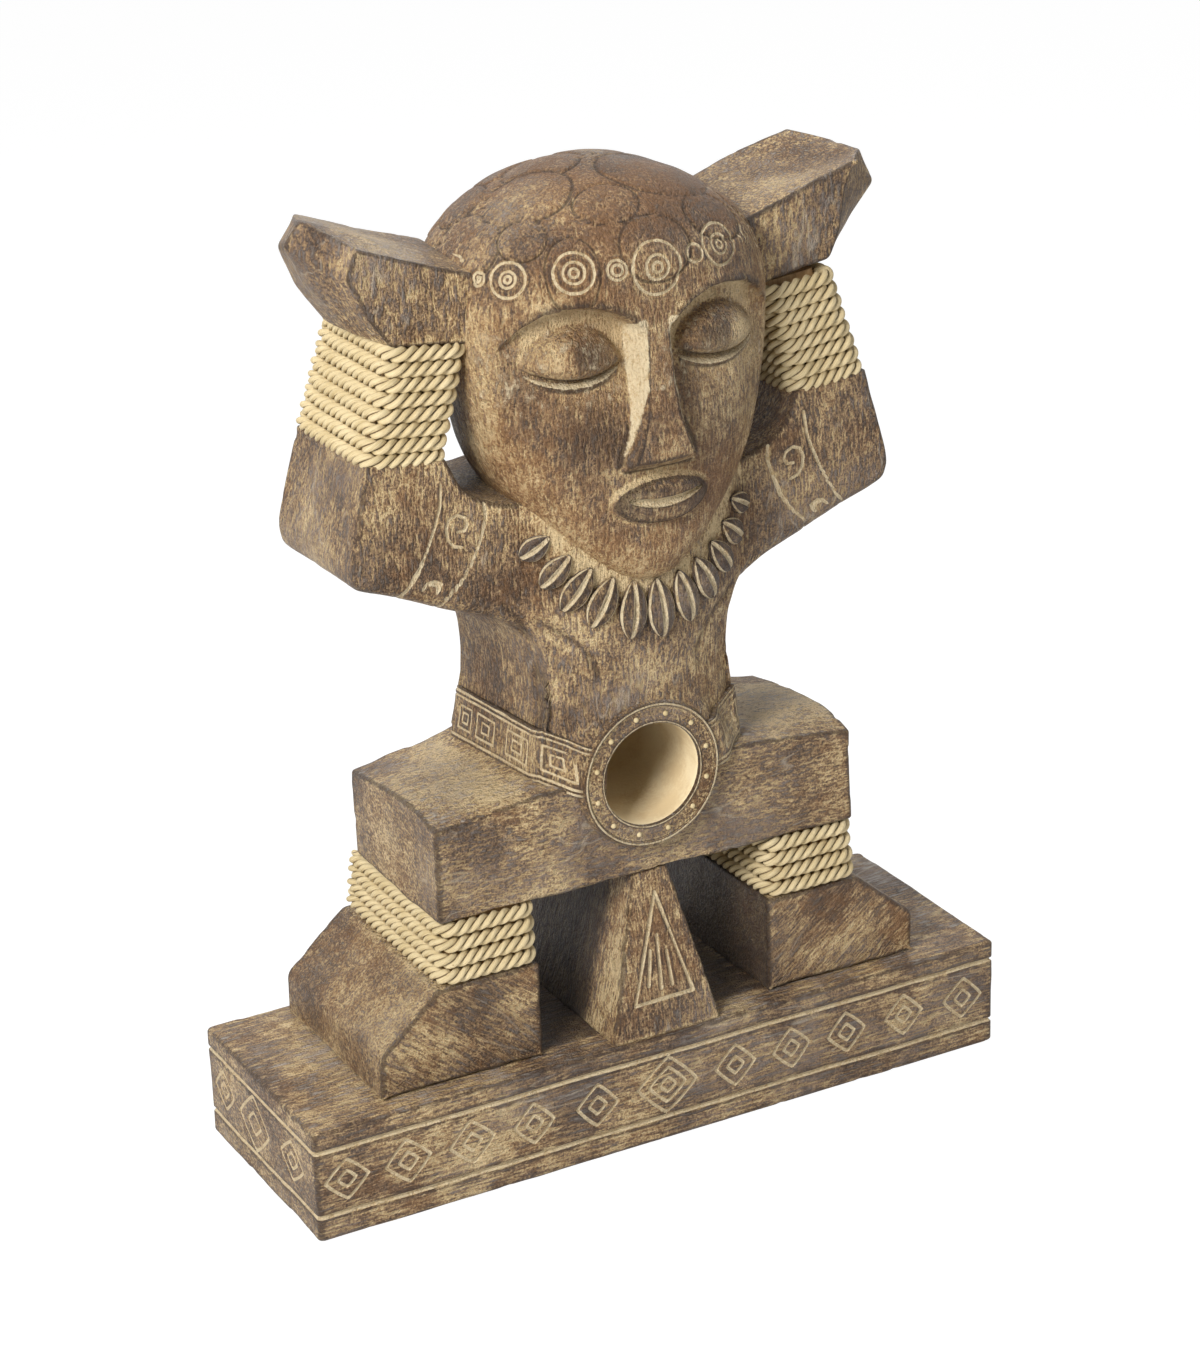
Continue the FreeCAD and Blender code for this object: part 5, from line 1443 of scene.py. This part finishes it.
# ---------------------------------------------------------------------------------------------------
# HIDDEN WOOD AND SCREWS. The posts under the ropes, the dowels and the plinth's screws stay as they
# were built; they get bare wood and plain steel.
# ---------------------------------------------------------------------------------------------------
def bare_wood(name, light, dark):
    """Planed wood: growth rings of the trunk cut lengthwise, with fine pores."""
    material, recipe = new_recipe(name)
    place = recipe.node("ShaderNodeTexCoord", output="Object")
    drawn_out = recipe.node("ShaderNodeMapping", {}, {"Vector": place, "Scale": (1.0, 1.0, 0.08)})
    growth = recipe.speckle(drawn_out, 260.0, 4.0, 0.6)
    pore = recipe.speckle(drawn_out, 1400.0, 2.0, 0.5)
    colour = recipe.over(light, dark, (growth + (pore - 0.5) * 0.4).rise(0.4, 0.7))
    surface_out(recipe, colour, 0.6 + (growth - 0.5) * 0.3, growth * 0.5 + pore, 0.0003)
    return material


def steel_finish():
    """Zinc-coated screw steel with faint turning marks."""
    material, recipe = new_recipe("screw steel")
    place = recipe.node("ShaderNodeTexCoord", output="Object")
    drawn_out = recipe.node("ShaderNodeMapping", {}, {"Vector": place, "Scale": (1.0, 1.0, 6.0)})
    turning = recipe.speckle(drawn_out, 700.0, 2.0, 0.5)
    colour = recipe.over(tone(170, 172, 176), tone(120, 122, 126), turning.rise(0.4, 0.7))
    surface_out(recipe, colour, 0.32 + (turning - 0.5) * 0.3, turning, 0.0001, 0.5)
    return material


hidden_finishes = {
    "dowel": bare_wood("dowel wood", tone(214, 186, 146), tone(186, 152, 108)),
    "post": bare_wood("post wood", tone(196, 162, 118), tone(160, 124, 82)),
    "screws": steel_finish(),
}
for name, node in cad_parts.items():
    for kind, finish in hidden_finishes.items():
        if kind in name:
            node.data.materials.clear()
            node.data.materials.append(finish)


# ---------------------------------------------------------------------------------------------------
# STAND, LIGHT AND CAMERA. A plain pale floor, a white surround, broad soft lamps and one camera.
# ---------------------------------------------------------------------------------------------------
def floor_finish():
    """White to the camera with the piece's soft shadow kept in it."""
    material, recipe = new_recipe("floor")
    rays = recipe.node("ShaderNodeLightPath", output="Is Camera Ray")
    matt = recipe.node("ShaderNodeBsdfDiffuse", {}, {"Color": (0.86, 0.86, 0.86, 1.0)})
    glow = recipe.node("ShaderNodeEmission", {}, {"Color": (1.0, 1.0, 1.0, 1.0), "Strength": 1.18})
    mixed = recipe.node("ShaderNodeMixShader", {}, {0: rays * 0.80, 1: matt, 2: glow})
    recipe.node("ShaderNodeOutputMaterial", {}, {"Surface": mixed})
    return material


floor_mesh = bpy.data.meshes.new("floor")
floor_mesh.from_pydata([(-6, -6, 0), (6, -6, 0), (6, 6, 0), (-6, 6, 0)], [], [(0, 1, 2, 3)])
floor = bpy.data.objects.new("floor", floor_mesh)
bpy.context.scene.collection.objects.link(floor)
floor.data.materials.append(floor_finish())

world = bpy.data.worlds.new("surround")
world.use_nodes = True
world.node_tree.nodes.clear()
sky = Paint(world.node_tree)
seen = sky.node("ShaderNodeLightPath", output="Is Camera Ray")
seen = seen.apply("MAXIMUM", seen, sky.node("ShaderNodeLightPath", output="Is Glossy Ray"))
seen = seen.apply("MAXIMUM", seen, sky.node("ShaderNodeLightPath", output="Is Transmission Ray"))
shine = sky.node("ShaderNodeBackground", {}, {"Color": (1.0, 1.0, 1.0, 1.0), "Strength": seen * 0.80 + 0.20})
sky.node("ShaderNodeOutputWorld", {}, {"Surface": shine})
bpy.context.scene.world = world


def lamp(name, place, aim, size, power, colour):
    """A square soft lamp at a place, turned to its aim."""
    light = bpy.data.lights.new(name, "AREA")
    light.size, light.energy, light.color = size, power, colour
    stand = bpy.data.objects.new(name, light)
    turn = (Vector(place) - Vector(aim)).to_track_quat("Z", "Y").to_matrix().to_4x4()
    stand.matrix_world = Matrix.Translation(place) @ turn
    bpy.context.scene.collection.objects.link(stand)


lamp("key lamp", (-1.25, -0.78, 1.17), (0, 0, 0.25), 0.6, 32.0, (1.0, 0.98, 0.95))
lamp("top lamp", (0.1, 0.3, 1.75), (0, 0, 0.25), 0.9, 14.0, (0.97, 0.98, 1.0))
lamp("fill lamp", (0.9, -1.5, 0.7), (0, 0, 0.25), 1.2, 4.0, (1.0, 0.98, 0.96))

# the camera stands to the left of and above the front, looks down and leans a little to one side
azimuth, elevation, roll = math.radians(-28.118), math.radians(22.184), math.radians(-1.789)
stand_point = Vector((-0.7608, -1.4261, 0.8878))
flat = math.cos(elevation)
back = Vector((math.sin(azimuth) * flat, -math.cos(azimuth) * flat, math.sin(elevation)))
level = Vector((0, 0, 1)).cross(back).normalized()
upright = back.cross(level)
right = math.cos(roll) * level + math.sin(roll) * upright
top = math.cos(roll) * upright - math.sin(roll) * level
camera = bpy.data.objects.new("camera", bpy.data.cameras.new("camera"))
camera.matrix_world = Matrix.Translation(stand_point) @ Matrix((right, top, back)).transposed().to_4x4()
camera.data.lens = 90.49
camera.data.sensor_width = 36.0
bpy.context.scene.collection.objects.link(camera)
bpy.context.scene.camera = camera
bpy.context.scene.view_settings.view_transform = "Standard"
